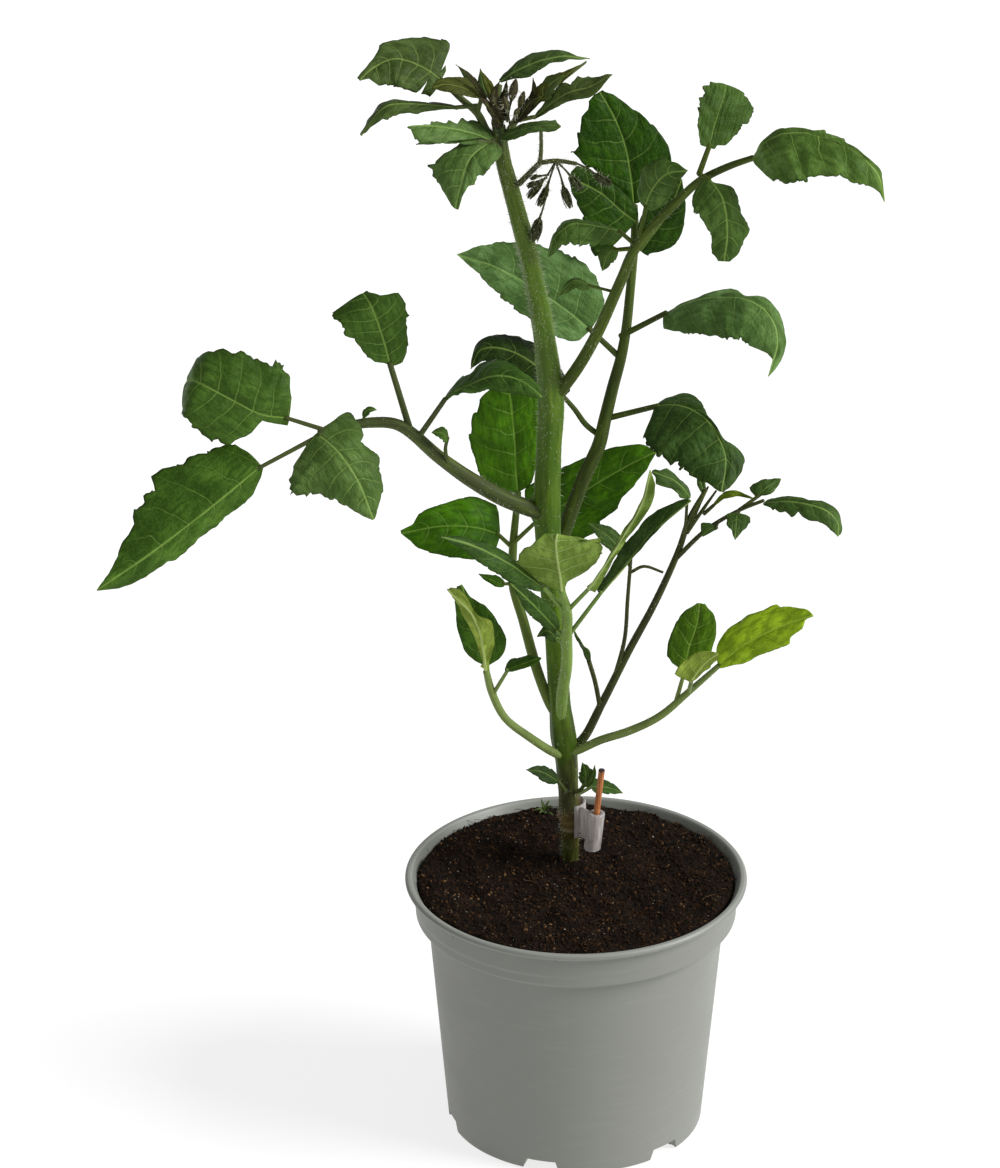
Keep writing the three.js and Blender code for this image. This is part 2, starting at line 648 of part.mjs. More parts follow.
// The small leaf low on the right.
function leafLowerRight() {
  return clearOfStem(join(
    stalk(lowerRightRoute, lowerRightRadii, rachis),
    leaflet({
      rib: [[53, -3, 193], [62, -8, 204], [75, -13, 214], [87, -18, 221]],
      face: [-0.2, -0.7, 0.7], wide: [10, 8], curl: [25, 25], teeth: 3, bite: 0.1, peak: 0.45,
    }),
    leaflet({
      from: [37, 2.5, 174], rib: [[40, 4, 185], [42, 7, 195], [45, 10, 204], [46, 11, 212]],
      face: [0, -0.95, 0.3], wide: [9, 8.5], curl: [20, 20], teeth: 2, bite: 0.04, peak: 0.45,
      sharp: 0.65, foot: 0.4,
    }),
    leaflet({
      from: [42, 1, 180], rib: [[43, -4, 187], [45, -9, 196], [46, -13, 204]],
      face: [0.1, 0.8, 0.6], wide: [8, 8], fold: [15, 15], curl: [25, 25], teeth: 2,
      bite: 0.08, peak: 0.5, fine: false,
    }),
  ));
}

// The side shoot that grows from the axil of the lower right leaf.
function sideShoot() {
  const tip = [48, 22, 254];
  const fork = [60, 10, 251];
  return clearOfStem(
    join(
      stalk(
        [[-3, 15, 148], [2.5, 15, 153], [9.7, 17, 167], [19.6, 19, 188], [29.4, 20, 208],
          [38, 21, 229], [42, 22, 242], tip],
        [2.2, 2.4, 2.3, 2.1, 1.9, 1.7, 1.4, 1.1],
        rachis,
      ),
      stalk([[37, 20.5, 226], [48, 16, 240], fork, [69, 8, 256]], [1.3, 1.2, 1, 0.9], petiole),
      leaflet({
        rib: [[68, 8.3, 256], [82, 0, 258], [91, -4, 256], [96, -6, 248]],
        face: [0, -0.5, 0.85], wide: [5, 6.5], fold: [-50, -12], teeth: 3, bite: 0.12,
        fine: false,
      }),
      leaflet({
        from: fork, rib: [[66, 12, 253], [71, 15, 257], [77, 18, 260]],
        face: [0, -0.5, 0.85], wide: [4, 4], teeth: 2, bite: 0.2, fine: false, stem: 0.8,
      }),
      leaflet({
        from: fork, rib: [[60, 7, 250], [59, 3, 248], [58, -1, 244]],
        face: [0.1, -0.8, 0.6], wide: [4.5, 4.5], teeth: 2, bite: 0.15, fine: false, stem: 0.8,
      }),
      leaflet({
        from: [52, 13.5, 244], rib: [[50, 12, 245], [47, 10, 244], [44, 9, 241]],
        face: [0, -0.8, 0.6], wide: [3, 3], teeth: 1, bite: 0.15, fine: false, stem: 0.8,
      }),
      leaflet({
        from: [47, 22, 251], rib: [[50, 21, 251], [57, 19, 253], [66, 17, 255]],
        face: [0, -0.5, 0.85], wide: [2.5, 2.5], teeth: 2, bite: 0.2, fine: false, stem: 0.8,
      }),
      stalk([[39, 21, 231], [40.5, 21, 240], [41, 21, 250]], [1, 0.9, 0.8], petiole),
      leaflet({
        rib: [[41, 21, 249], [40, 20, 256], [33, 19, 262], [23, 18, 264]],
        face: [0, -0.6, 0.8], wide: [5, 4], fold: [-15, -15], teeth: 3, bite: 0.12, fine: false,
      }),
      leaflet({
        rib: [[47.5, 22, 252], [46, 23, 257], [45, 23, 262]], face: [0, -0.9, 0.4],
        wide: [1.6, 1.6], teeth: 1, bite: 0.2, fine: false,
      }),
      stalk([[14, 18, 176], [18, 17, 194], [19, 16, 211], [20, 14, 229]], [1.2, 1.1, 1, 0.8], petiole),
      leaflet({
        from: [20, 14.6, 225], rib: [[18, 14, 231], [12, 14, 238], [4, 14, 244]],
        face: [0, -0.8, 0.6], wide: [4, 4], teeth: 2, bite: 0.08, fine: false, stem: 0.7,
      }),
      stalk([[20, 15, 223], [25, 14, 226], [32, 13, 224]], [0.7, 0.6, 0.5], petiole),
      stalk([[9, 17, 165], [7, 13, 178], [4.5, 9, 189]], [0.9, 0.9, 0.9], petiole),
      leaflet({
        rib: [[4.6, 9.4, 188], [3.4, 8, 193], [0.6, 5, 200], [-1, 2, 205]], face: [-0.6, -0.6, 0.4],
        wide: [2, 2], teeth: 1, bite: 0.08, fine: false,
      }),
    ),
    stalk(lowerRightRoute, lowerRightRadii, { ...rachis, grow: neighbourGap }),
  );
}

// The young leaf that leans out to the left at the top of the plant.
function apexLeafLeft() {
  const fork = [-37, -3, 415];
  return clearOfStem(join(
    stalk(
      [[-27, -4, 402], [-33, -3, 407], fork, [-43, -1, 420], [-50, 2, 426]],
      [1.5, 1.6, 1.4, 1.2, 1],
      petiole,
    ),
    leaflet({
      rib: [[-50, 2, 426], [-60, 3, 432], [-67, 2, 434], [-74, -1, 432], [-79, -6, 429]],
      face: [0, -0.65, 0.75], wide: [12, 11], curl: [25, 20], teeth: 4, bite: 0.1, peak: 0.33,
      foot: 0.35, sharp: 1.2,
    }),
    leaflet({
      from: [-37, -3, 418], rib: [[-44, -5, 418], [-56, -9, 421], [-70, -12, 421],
        [-79, -14, 411]],
      face: [0, -0.4, 0.9], wide: [5, 3], fold: [-30, -30], teeth: 3, bite: 0.12, fine: false,
      peak: 0.5,
    }),
    leaflet({
      from: fork, rib: [[-37, -4, 420], [-45, -8, 427], [-54, -11, 428]],
      face: [0, -0.6, 0.8], wide: [4, 4], teeth: 2, bite: 0.25, fine: false,
    }),
  ));
}

// The young leaflets that hang over the front of the top.
function apexLeafFront() {
  const end = [-32, -8, 406];
  return clearOfStem(join(
    stalk([[-27, -4, 399], [-29.5, -6.5, 403], end], [1.4, 1.4, 1.2], petiole),
    leaflet({
      rib: [[-32, -8, 406], [-40, -18, 403], [-43, -23, 395], [-45, -25, 387]],
      face: [-0.1, -0.7, 0.7], wide: [7, 13], curl: [30, 35], teeth: 3, bite: 0.14, peak: 0.36,
      foot: 0.4,
    }),
    leaflet({
      rib: [[-31, -7.5, 406], [-43, -12, 412], [-54, -15, 415], [-62, -18, 416]],
      face: [0, -0.5, 0.85], wide: [5, 5], teeth: 3, bite: 0.3, fine: false,
    }),
    leaflet({
      from: end, rib: [[-36, -10, 407], [-48, -15, 410], [-59, -18, 409]],
      face: [0, -0.5, 0.85], wide: [2.5, 2.5], teeth: 2, bite: 0.2, fine: false,
    }),
    leaflet({
      rib: [[-30, -7, 405], [-25, -11, 411], [-17, -15, 415], [-6, -19, 418]],
      face: [0, -0.4, 0.9], wide: [4, 3.5], teeth: 3, bite: 0.3, fine: false,
    }),
  ));
}

// The young leaf that points right at the top, with narrow toothed leaflets.
function apexLeafRight() {
  return clearOfStem(join(
    stalk([[-27, -5, 406], [-22, -5, 415], [-11, -5, 425], [2, -4, 435]], [1.5, 1.3, 1, 0.6],
      petiole),
    leaflet({
      from: [-23, -5, 413], rib: [[-18, -8, 415], [-10, -10, 421], [-1, -12, 427],
        [11, -14, 436]],
      face: [0, -0.6, 0.8], wide: [5, 4], teeth: 3, bite: 0.2, peak: 0.42, fine: false,
    }),
    leaflet({
      from: [-20, -5, 417], rib: [[-15, -7, 422], [-11, -8, 428], [-6, -9, 432]],
      face: [0, -0.6, 0.8], wide: [4, 4], teeth: 2, bite: 0.2, fine: false, stem: 0.7,
    }),
  ));
}

// The young leaf that arches back and to the right at the top.
function apexLeafBack() {
  return clearOfStem(join(
    stalk([[-29, -2, 409], [-30, 1, 416], [-29, 4, 423]], [1.4, 1.2, 1], petiole),
    leaflet({
      rib: [[-29, 3.8, 422], [-22, 6, 431], [-13, 8, 434], [4, 8, 431.5]],
      face: [0, -0.5, 0.85], wide: [4, 5], fold: [-40, -5], teeth: 3, bite: 0.12, peak: 0.42,
      fine: false,
    }),
    leaflet({
      from: [-30, 1, 414], rib: [[-35, 2, 419], [-40, 4, 426], [-44, 5, 430]],
      face: [0, -0.9, 0.4], wide: [2, 2], teeth: 2, bite: 0.25, fine: false, stem: 0.7,
    }),
    leaflet({
      from: [-30, 1, 415], rib: [[-33, 2, 419], [-35, 3, 424], [-36, 3, 430]],
      face: [0, -0.9, 0.4], wide: [2, 2], teeth: 1, bite: 0.25, fine: false, stem: 0.7,
    }),
  ));
}

// The bunch of unopened leaves and first buds on the very tip of the stem.
function shootTip() {
  const foot = [-30, -5.2, 411.8];
  const heart = [-29, -5.6, 416];
  const tips = [
    [-32.5, -6, 426], [-29, -6, 429], [-24, -8, 429], [-18, -6.5, 429], [-24, -10, 422],
  ];
  return join(
    stalk([foot, heart], [2.2, 2.4], { sides: 7, steps: 1 }),
    tips.map((tip) => {
      const middle = heart.map((value, i) => value * 0.4 + tip[i] * 0.6);
      return stalk([heart, middle, tip], [0.9, 1.5, 0.5], petiole);
    }),
  );
}

// The flower truss below the top, with branches and hanging buds.
function flowerTruss() {
  const fork = [-14, -9, 401];
  const branch = [[-9, -10, 401], [-2, -11, 400], [5, -11, 396], [11, -11, 391]];
  const bud = (from, tip, radius) => {
    const middle = from.map((value, i) => value * 0.35 + tip[i] * 0.65);
    return stalk([from, middle, tip], [0.55, radius, 0.5], petiole);
  };
  return clearOfStem(join(
    stalk([[-22, -3, 389], [-18, -7, 395], fork], [1.3, 1.2, 1.1], petiole),
    stalk([fork, [-13, -9, 406], [-13, -8, 411]], [0.9, 0.8, 0.7], petiole),
    stalk([fork, ...branch], [1, 1, 1, 0.9, 0.6], petiole),
    bud(branch[0], [-19, -12, 387], 1.3),
    bud(branch[0], [-15, -12, 383], 1.3),
    bud(branch[0], [-4, -12, 383], 1.4),
    bud(branch[1], [0, -13, 391], 1.4),
    bud(branch[2], [7, -13, 389], 1.1),
    stalk(
      [[-20.5, -3.2, 368.5], [-16.5, -8, 373], [-14.6, -10.6, 380], [-14.2, -11.8, 387]],
      [0.7, 1.4, 1.1, 0.6], petiole,
    ),
  ));
}

function basalLeafLeft() {
  return clearOfStem(join(
    stalk([[-3.4, 13, 132], [-4.5, 8.2, 135], [-7, 7, 139]], [0.8, 0.8, 0.8], petiole),
    leaflet({
      rib: [[-7, 7, 139], [-13, 5, 144], [-19, 3, 146]], face: [0.1, -0.75, 0.65],
      wide: [3.4, 3.2], teeth: 2, bite: 0.15, fine: false,
    }),
  ));
}

function basalLeafRight() {
  return clearOfStem(join(
    stalk([[-2, 13, 131], [1.6, 9.5, 134], [3.4, 8, 138]], [0.8, 0.8, 0.7], petiole),
    leaflet({
      rib: [[3.4, 8, 137], [3.6, 7.5, 143], [2.2, 7, 147]], face: [0, -0.95, 0.3],
      wide: [3, 3], teeth: 2, bite: 0.15, fine: false,
    }),
    leaflet({
      rib: [[3.2, 8.3, 136], [6, 7.5, 140], [7, 7, 146]], face: [0, -0.95, 0.3],
      wide: [1.5, 1.5], teeth: 1, bite: 0.15, fine: false,
    }),
  ));
}

function basalLeafBack() {
  return clearOfStem(join(
    stalk([[-3, 14, 128], [3, 18, 129], [6, 20, 130]], [0.8, 0.7, 0.7], petiole),
    leaflet({
      rib: [[5.6, 20, 130], [12, 25, 127], [18, 26, 124]], face: [0, -0.6, 0.8],
      wide: [4.2, 3.6], teeth: 2, bite: 0.15, fine: false, foot: 0.4,
    }),
  ));
}

// Every sub-part, with the colour and roughness of its material.
const parts = {
  pot: [potSolid(), potGrey, 0.55],
  soil: [
    soilSolid().subtract(grownStem).subtract(soilSprout(neighbourGap)), soilBrown, 0.95,
  ],
  main_stem: [mainStem, stemGreen, satin],
  support_stick: [supportStick, stickOrange, 0.7],
  graft_clip: [graftClip(), clipWhite, 0.35],
  soil_sprout: [soilSprout(0), darkGreen, satin],
  leaf_left_upper: [leafLeftUpper(), leafGreen, satin],
  leaf_right_upper: [leafRightUpper(), leafGreen, satin],
  leaf_back_right: [leafBackRight(), leafGreen, satin],
  leaf_back_left: [leafBackLeft(), leafGreen, satin],
  leaf_front: [leafFront(), paleGreen, satin],
  leaf_lower_left: [leafLowerLeft(), leafGreen, satin],
  leaf_lower_right: [leafLowerRight(), leafGreen, satin],
  side_shoot: [sideShoot(), leafGreen, satin],
  apex_leaf_left: [apexLeafLeft(), leafGreen, satin],
  apex_leaf_front: [apexLeafFront(), leafGreen, satin],
  apex_leaf_right: [apexLeafRight(), leafGreen, satin],
  apex_leaf_back: [apexLeafBack(), leafGreen, satin],
  shoot_tip: [shootTip(), darkGreen, satin],
  flower_truss: [flowerTruss(), darkGreen, satin],
  basal_leaf_left: [basalLeafLeft(), darkGreen, satin],
  basal_leaf_right: [basalLeafRight(), darkGreen, satin],
  basal_leaf_back: [basalLeafBack(), darkGreen, satin],
};

const plant = new THREE.Group();
for (const [name, [solid, color, roughness]] of Object.entries(parts)) {
  const { numProp, vertProperties, triVerts } = solid.getMesh();
  const geometry = new THREE.BufferGeometry();
  geometry.setAttribute('position', new THREE.BufferAttribute(vertProperties, numProp));
  geometry.setIndex(new THREE.BufferAttribute(triVerts, 1));
  geometry.computeVertexNormals();
  const mesh = new THREE.Mesh(geometry, finish(color, roughness));
  mesh.name = name;
  plant.add(mesh);
}

export default plant;
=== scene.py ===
import math
import bmesh
import bpy
import numpy as np
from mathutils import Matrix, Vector, noise


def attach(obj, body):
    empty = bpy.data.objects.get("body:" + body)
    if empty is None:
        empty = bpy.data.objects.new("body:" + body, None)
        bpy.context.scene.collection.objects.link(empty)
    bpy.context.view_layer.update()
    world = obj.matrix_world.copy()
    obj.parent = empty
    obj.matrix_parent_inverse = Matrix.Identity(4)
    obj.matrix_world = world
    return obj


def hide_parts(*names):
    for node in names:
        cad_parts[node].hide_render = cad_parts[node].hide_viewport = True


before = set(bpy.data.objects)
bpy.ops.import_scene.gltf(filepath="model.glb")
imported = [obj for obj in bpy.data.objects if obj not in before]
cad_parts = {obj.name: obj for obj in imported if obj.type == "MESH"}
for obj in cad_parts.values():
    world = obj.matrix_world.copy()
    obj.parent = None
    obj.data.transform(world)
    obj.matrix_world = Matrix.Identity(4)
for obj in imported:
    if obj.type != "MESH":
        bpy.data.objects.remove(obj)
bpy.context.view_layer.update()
mm = 0.001
scene = bpy.context.scene


# small helpers

def tone(code):  # sRGB hex to linear
    parts = [int(code[i:i + 2], 16) / 255 for i in (1, 3, 5)]
    return (*[c / 12.92 if c < 0.04045 else ((c + 0.055) / 1.055) ** 2.4 for c in parts], 1.0)


def wire(tree, node, sockets):  # each socket gets a value, or a link from another socket
    for key, value in sockets.items():
        if isinstance(value, bpy.types.NodeSocket):
            tree.links.new(value, node.inputs[key])
        else:
            node.inputs[key].default_value = value


def addNode(tree, kind, sockets=None, **settings):
    node = tree.nodes.new(kind)
    for name, value in settings.items():
        setattr(node, name, value)
    wire(tree, node, sockets or {})
    return node


def newMaterial(name):
    material = bpy.data.materials.new(name)
    material.use_nodes = True
    tree = material.node_tree
    tree.nodes.clear()
    shader = addNode(tree, "ShaderNodeBsdfPrincipled")
    addNode(tree, "ShaderNodeOutputMaterial", {"Surface": shader.outputs[0]})
    return material, tree, shader


def noiseAt(tree, vector, sizeMm, detail=2.0, rough=0.5):  # pattern of about sizeMm across
    return addNode(tree, "ShaderNodeTexNoise", {
        "Vector": vector, "Scale": 1000 / sizeMm, "Detail": detail, "Roughness": rough})


def ramp(tree, factor, stops):  # [(place, colour)], linear
    node = addNode(tree, "ShaderNodeValToRGB", {"Fac": factor})
    while len(node.color_ramp.elements) < len(stops):
        node.color_ramp.elements.new(0.5)
    for element, (place, colour) in zip(node.color_ramp.elements, stops):
        element.position = place
        element.color = colour
    return node.outputs["Color"]


def mixColour(tree, factor, a, b, how="MIX"):
    return addNode(tree, "ShaderNodeMix", {0: factor, 6: a, 7: b},
                   data_type="RGBA", blend_type=how).outputs[2]


def maths(tree, how, a, b=0.0):
    return addNode(tree, "ShaderNodeMath", {0: a, 1: b}, operation=how).outputs[0]


def times(tree, a, b):
    return maths(tree, "MULTIPLY", a, b)


def vectorOf(tree, x=0.0, y=0.0, z=0.0):
    return addNode(tree, "ShaderNodeCombineXYZ", {0: x, 1: y, 2: z}).outputs[0]


def partsOf(tree, vector):
    return addNode(tree, "ShaderNodeSeparateXYZ", {0: vector}).outputs


def ownSpot(tree):  # the place on the object, in its own metres
    return addNode(tree, "ShaderNodeTexCoord").outputs["Object"]


def stored(tree, name, output="Fac"):  # an attribute of the mesh
    return addNode(tree, "ShaderNodeAttribute", attribute_name=name).outputs[output]


def randomOf(tree, low, high, seed):  # a number, or a vector where low and high are vectors
    if isinstance(low, tuple):
        return addNode(tree, "FunctionNodeRandomValue", {0: low, 1: high, "Seed": seed},
                       data_type="FLOAT_VECTOR").outputs[0]
    return addNode(tree, "FunctionNodeRandomValue", {2: low, 3: high, "Seed": seed},
                   data_type="FLOAT").outputs[1]


def fade(tree, value, low, high, start=0.0, end=1.0):  # smooth step between two values
    return addNode(tree, "ShaderNodeMapRange", {
        "Value": value, "From Min": low, "From Max": high, "To Min": start, "To Max": end,
    }, interpolation_type="SMOOTHSTEP").outputs[0]


def bump(tree, height, strength, depthMm, normal=None):
    sockets = {"Height": height, "Strength": strength, "Distance": depthMm * mm}
    if normal:
        sockets["Normal"] = normal
    return addNode(tree, "ShaderNodeBump", sockets).outputs[0]


def addObject(name, mesh):
    piece = bpy.data.objects.new(name, mesh)
    scene.collection.objects.link(piece)
    return piece


def meshOf(name, places, faces):  # places in mm
    mesh = bpy.data.meshes.new(name)
    mesh.from_pydata((np.asarray(places) * mm).tolist(), [], faces)
    mesh.shade_smooth()
    return mesh


def store(mesh, name, kind, values):  # one value for each point
    field = {"FLOAT": "value", "FLOAT_VECTOR": "vector", "FLOAT_COLOR": "color"}[kind]
    mesh.attributes.new(name, kind, "POINT").data.foreach_set(field, np.ravel(values))


def hoopFaces(count, m, capped=True):  # quads between hoops of m points, and a face over each end
    ids = np.arange(count * m).reshape(count, m)
    after = np.roll(ids, -1, axis=1)
    faces = np.stack([ids[:-1], after[:-1], after[1:], ids[1:]], -1).reshape(-1, 4).tolist()
    return faces + ([ids[0, ::-1].tolist(), ids[-1].tolist()] if capped else [])


def place(piece, slotName, *nodes):
    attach(piece, "root")
    if nodes:
        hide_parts(*nodes)


def newTree(name, inputs):
    tree = bpy.data.node_groups.new(name, "GeometryNodeTree")
    tree.interface.new_socket("Geometry", in_out="OUTPUT", socket_type="NodeSocketGeometry")
    tree.interface.new_socket("Geometry", in_out="INPUT", socket_type="NodeSocketGeometry")
    for label, kind, value in inputs:
        socket = tree.interface.new_socket(label, in_out="INPUT", socket_type="NodeSocket" + kind)
        if value is not None:
            socket.default_value = value
    start = addNode(tree, "NodeGroupInput")
    return tree, start.outputs


def endTree(tree, geometry, material):  # every tree ends the same way
    real = addNode(tree, "GeometryNodeRealizeInstances", {0: geometry})
    painted = addNode(tree, "GeometryNodeSetMaterial", {0: real.outputs[0], "Material": material})
    addNode(tree, "NodeGroupOutput", {0: painted.outputs[0]})


def grow(name, base, tree, values):  # runs a tree on a base mesh and keeps the plain result
    source = addObject(name + "Source", base)
    modifier = source.modifiers.new("tree", "NODES")
    modifier.node_group = tree
    for item in tree.interface.items_tree:
        if item.in_out == "INPUT" and item.name in values:
            modifier[item.identifier] = values[item.name]
    seen = source.evaluated_get(bpy.context.evaluated_depsgraph_get())
    made = bpy.data.meshes.new_from_object(seen)
    source.modifiers.remove(modifier)
    bpy.data.objects.remove(source)
    made.name = name
    return made


def pathOf(points, count, even=True):  # centripetal spline through the points
    p = np.asarray(points, float)
    p = np.vstack([2 * p[0] - p[1], p, 2 * p[-1] - p[-2]])
    steps = 24 if even else max(int(round(count / (len(points) - 1))), 1)
    out = []
    for i in range(1, len(p) - 2):
        p0, p1, p2, p3 = p[i - 1:i + 3]
        d0, d1, d2 = [max(np.linalg.norm(b - a), 1e-6) ** 0.5
                      for a, b in ((p0, p1), (p1, p2), (p2, p3))]
        t1 = ((p1 - p0) / d0 - (p2 - p0) / (d0 + d1) + (p2 - p1) / d1) * d1
        t2 = ((p2 - p1) / d1 - (p3 - p1) / (d1 + d2) + (p3 - p2) / d2) * d1
        for u in np.arange(steps) / steps:
            out.append(p1 + t1 * u + (3 * (p2 - p1) - 2 * t1 - t2) * u ** 2
                       + (2 * (p1 - p2) + t1 + t2) * u ** 3)
    out.append(p[-2])
    out = np.array(out)
    if not even:
        return out
    far = np.concatenate([[0], np.cumsum(np.linalg.norm(np.diff(out, axis=0), axis=1))])
    want = np.linspace(0, far[-1], count)
    return np.stack([np.interp(want, far, out[:, k]) for k in range(3)], 1)


def unit(v):
    return v / np.maximum(np.linalg.norm(v, axis=-1, keepdims=True), 1e-9)


def carried(spine, start):  # directions across a path, carried along it without twisting
    tangents = unit(np.gradient(spine, axis=0))
    across = np.zeros_like(spine)
    middle = len(spine) // 2

    def squared(v, t):
        return unit(v - t * np.dot(v, t))

    across[middle] = squared(np.asarray(start, float), tangents[middle])
    for i in range(middle + 1, len(spine)):
        across[i] = squared(across[i - 1], tangents[i])
    for i in range(middle - 1, -1, -1):
        across[i] = squared(across[i + 1], tangents[i])
    return tangents, across


# camera, light and floor

view = {"place": (-28.9, -2292.8, 1333.8), "tilt": 64.2, "lens": 210.76, "sensor": 36}
camera = bpy.data.objects.new("camera", bpy.data.cameras.new("camera"))
scene.collection.objects.link(camera)
camera.location = Vector(view["place"]) * mm
camera.rotation_euler = (math.radians(view["tilt"]), 0, 0)
camera.data.lens = view["lens"]
camera.data.sensor_width = view["sensor"]
camera.data.clip_end = 50
scene.camera = camera
scene.view_settings.view_transform = "Standard"

studio = {"sky": 0.35, "sun": 3.55, "sunFrom": (0.8, -0.2, 0.57), "sunAngle": 32, "glow": 0.76,
          "floorReach": 6000, "floorDrop": 0.4}
world = bpy.data.worlds.new("studio")
world.use_nodes = True
world.node_tree.nodes["Background"].inputs[0].default_value = tone("#f6f7fa")
world.node_tree.nodes["Background"].inputs[1].default_value = studio["sky"]
scene.world = world
lamp = addObject("keyLight", bpy.data.lights.new("keyLight", "SUN"))  # a large soft box, far right
lamp.data.energy = studio["sun"]
lamp.data.angle = math.radians(studio["sunAngle"])
lamp.rotation_euler = Vector(studio["sunFrom"]).to_track_quat("Z", "Y").to_euler()

floorPaint, tree, shader = newMaterial("paleStudioPaper")  # smooth matt paper, lit from below
wire(tree, shader, {
    "Base Color": tone("#a2a2a1"), "Roughness": 0.9, "Specular IOR Level": 0.0,
    "Emission Color": tone("#ffffff"), "Emission Strength": studio["glow"]})
reach, drop = studio["floorReach"], studio["floorDrop"]
corners = [(-reach, -reach, -drop), (reach, -reach, -drop), (reach, reach, -drop),
           (-reach, reach, -drop)]
floor = addObject("floor", meshOf("floor", corners, [(0, 1, 2, 3)]))
floor.data.materials.append(floorPaint)
print("stage: camera and studio ready")


# the pot, turned from a rounded profile by a tree

pot = {"height": 103, "rim": 65, "lip": 3, "lipDepth": 2.4, "collar": 61.6, "collarDepth": 15,
       "bodyTop": 56.4, "base": 48.8, "wall": 1.1, "sides": 240,
       "drains": 6, "drainWidth": 17, "drainHeight": 4.6, "drainDepth": 34, "drainSlant": 0.16,
       "firstDrain": -46, "insideFloor": 6, "sharpFrom": 32}


def rounded(profile, radius, steps=4):  # replaces each corner with a short arc
    points = [profile[0]]
    for before, at, after in zip(profile, profile[1:], profile[2:]):
        a, p, b = np.array(before, float), np.array(at, float), np.array(after, float)
        cut = min(radius, 0.45 * np.linalg.norm(a - p), 0.45 * np.linalg.norm(b - p))
        start, end = p + unit(a - p) * cut, p + unit(b - p) * cut
        for k in range(steps + 1):
            u = k / steps
            points.append(tuple((1 - u) ** 2 * start + 2 * u * (1 - u) * p + u * u * end))
    points.append(profile[-1])
    return points


def potProfile():
    h, wall = pot["height"], pot["wall"]
    under, step = h - pot["lipDepth"], h - pot["collarDepth"]
    low, foot, inner = step - 2, pot["collar"] - 0.6, pot["rim"] - pot["lip"]
    return rounded([
        (0, 0), (pot["base"] - 3.4, 0), (pot["base"] - 2.8, 0.5), (pot["base"] - 1.3, 0.5),
        (pot["base"] - 0.9, 0), (pot["base"] - 0.2, 0.2), (pot["base"], 1.2),
        *[(pot["base"] + (pot["bodyTop"] - 0.1 - pot["base"]) * (z - 1.2) / (low - 2.2), z)
          for z in (7, 20, 34, 48, 62, 75)],
        (pot["bodyTop"] - 0.1, low - 1), (pot["bodyTop"] + 0.9, low + 0.4),
        (foot - 0.9, step - 0.7), (foot, step), (foot + 0.1, step + 3.4), (foot + 0.4, step + 4.2),
        (pot["collar"], under - 1.2), (pot["collar"] + 0.5, under), (pot["rim"] - 0.7, under),
        (pot["rim"], under + 0.8), (pot["rim"], h - 0.9), (pot["rim"] - 0.8, h),
        (inner + 0.7, h), (inner, h - 0.8), (pot["collar"] - wall, under - 0.8),
        (foot - wall, step + 0.6), (pot["bodyTop"] - wall, low + 0.6),
        (pot["base"] + 0.5 - wall, pot["insideFloor"]), (0, pot["insideFloor"]),
    ], 0.5)


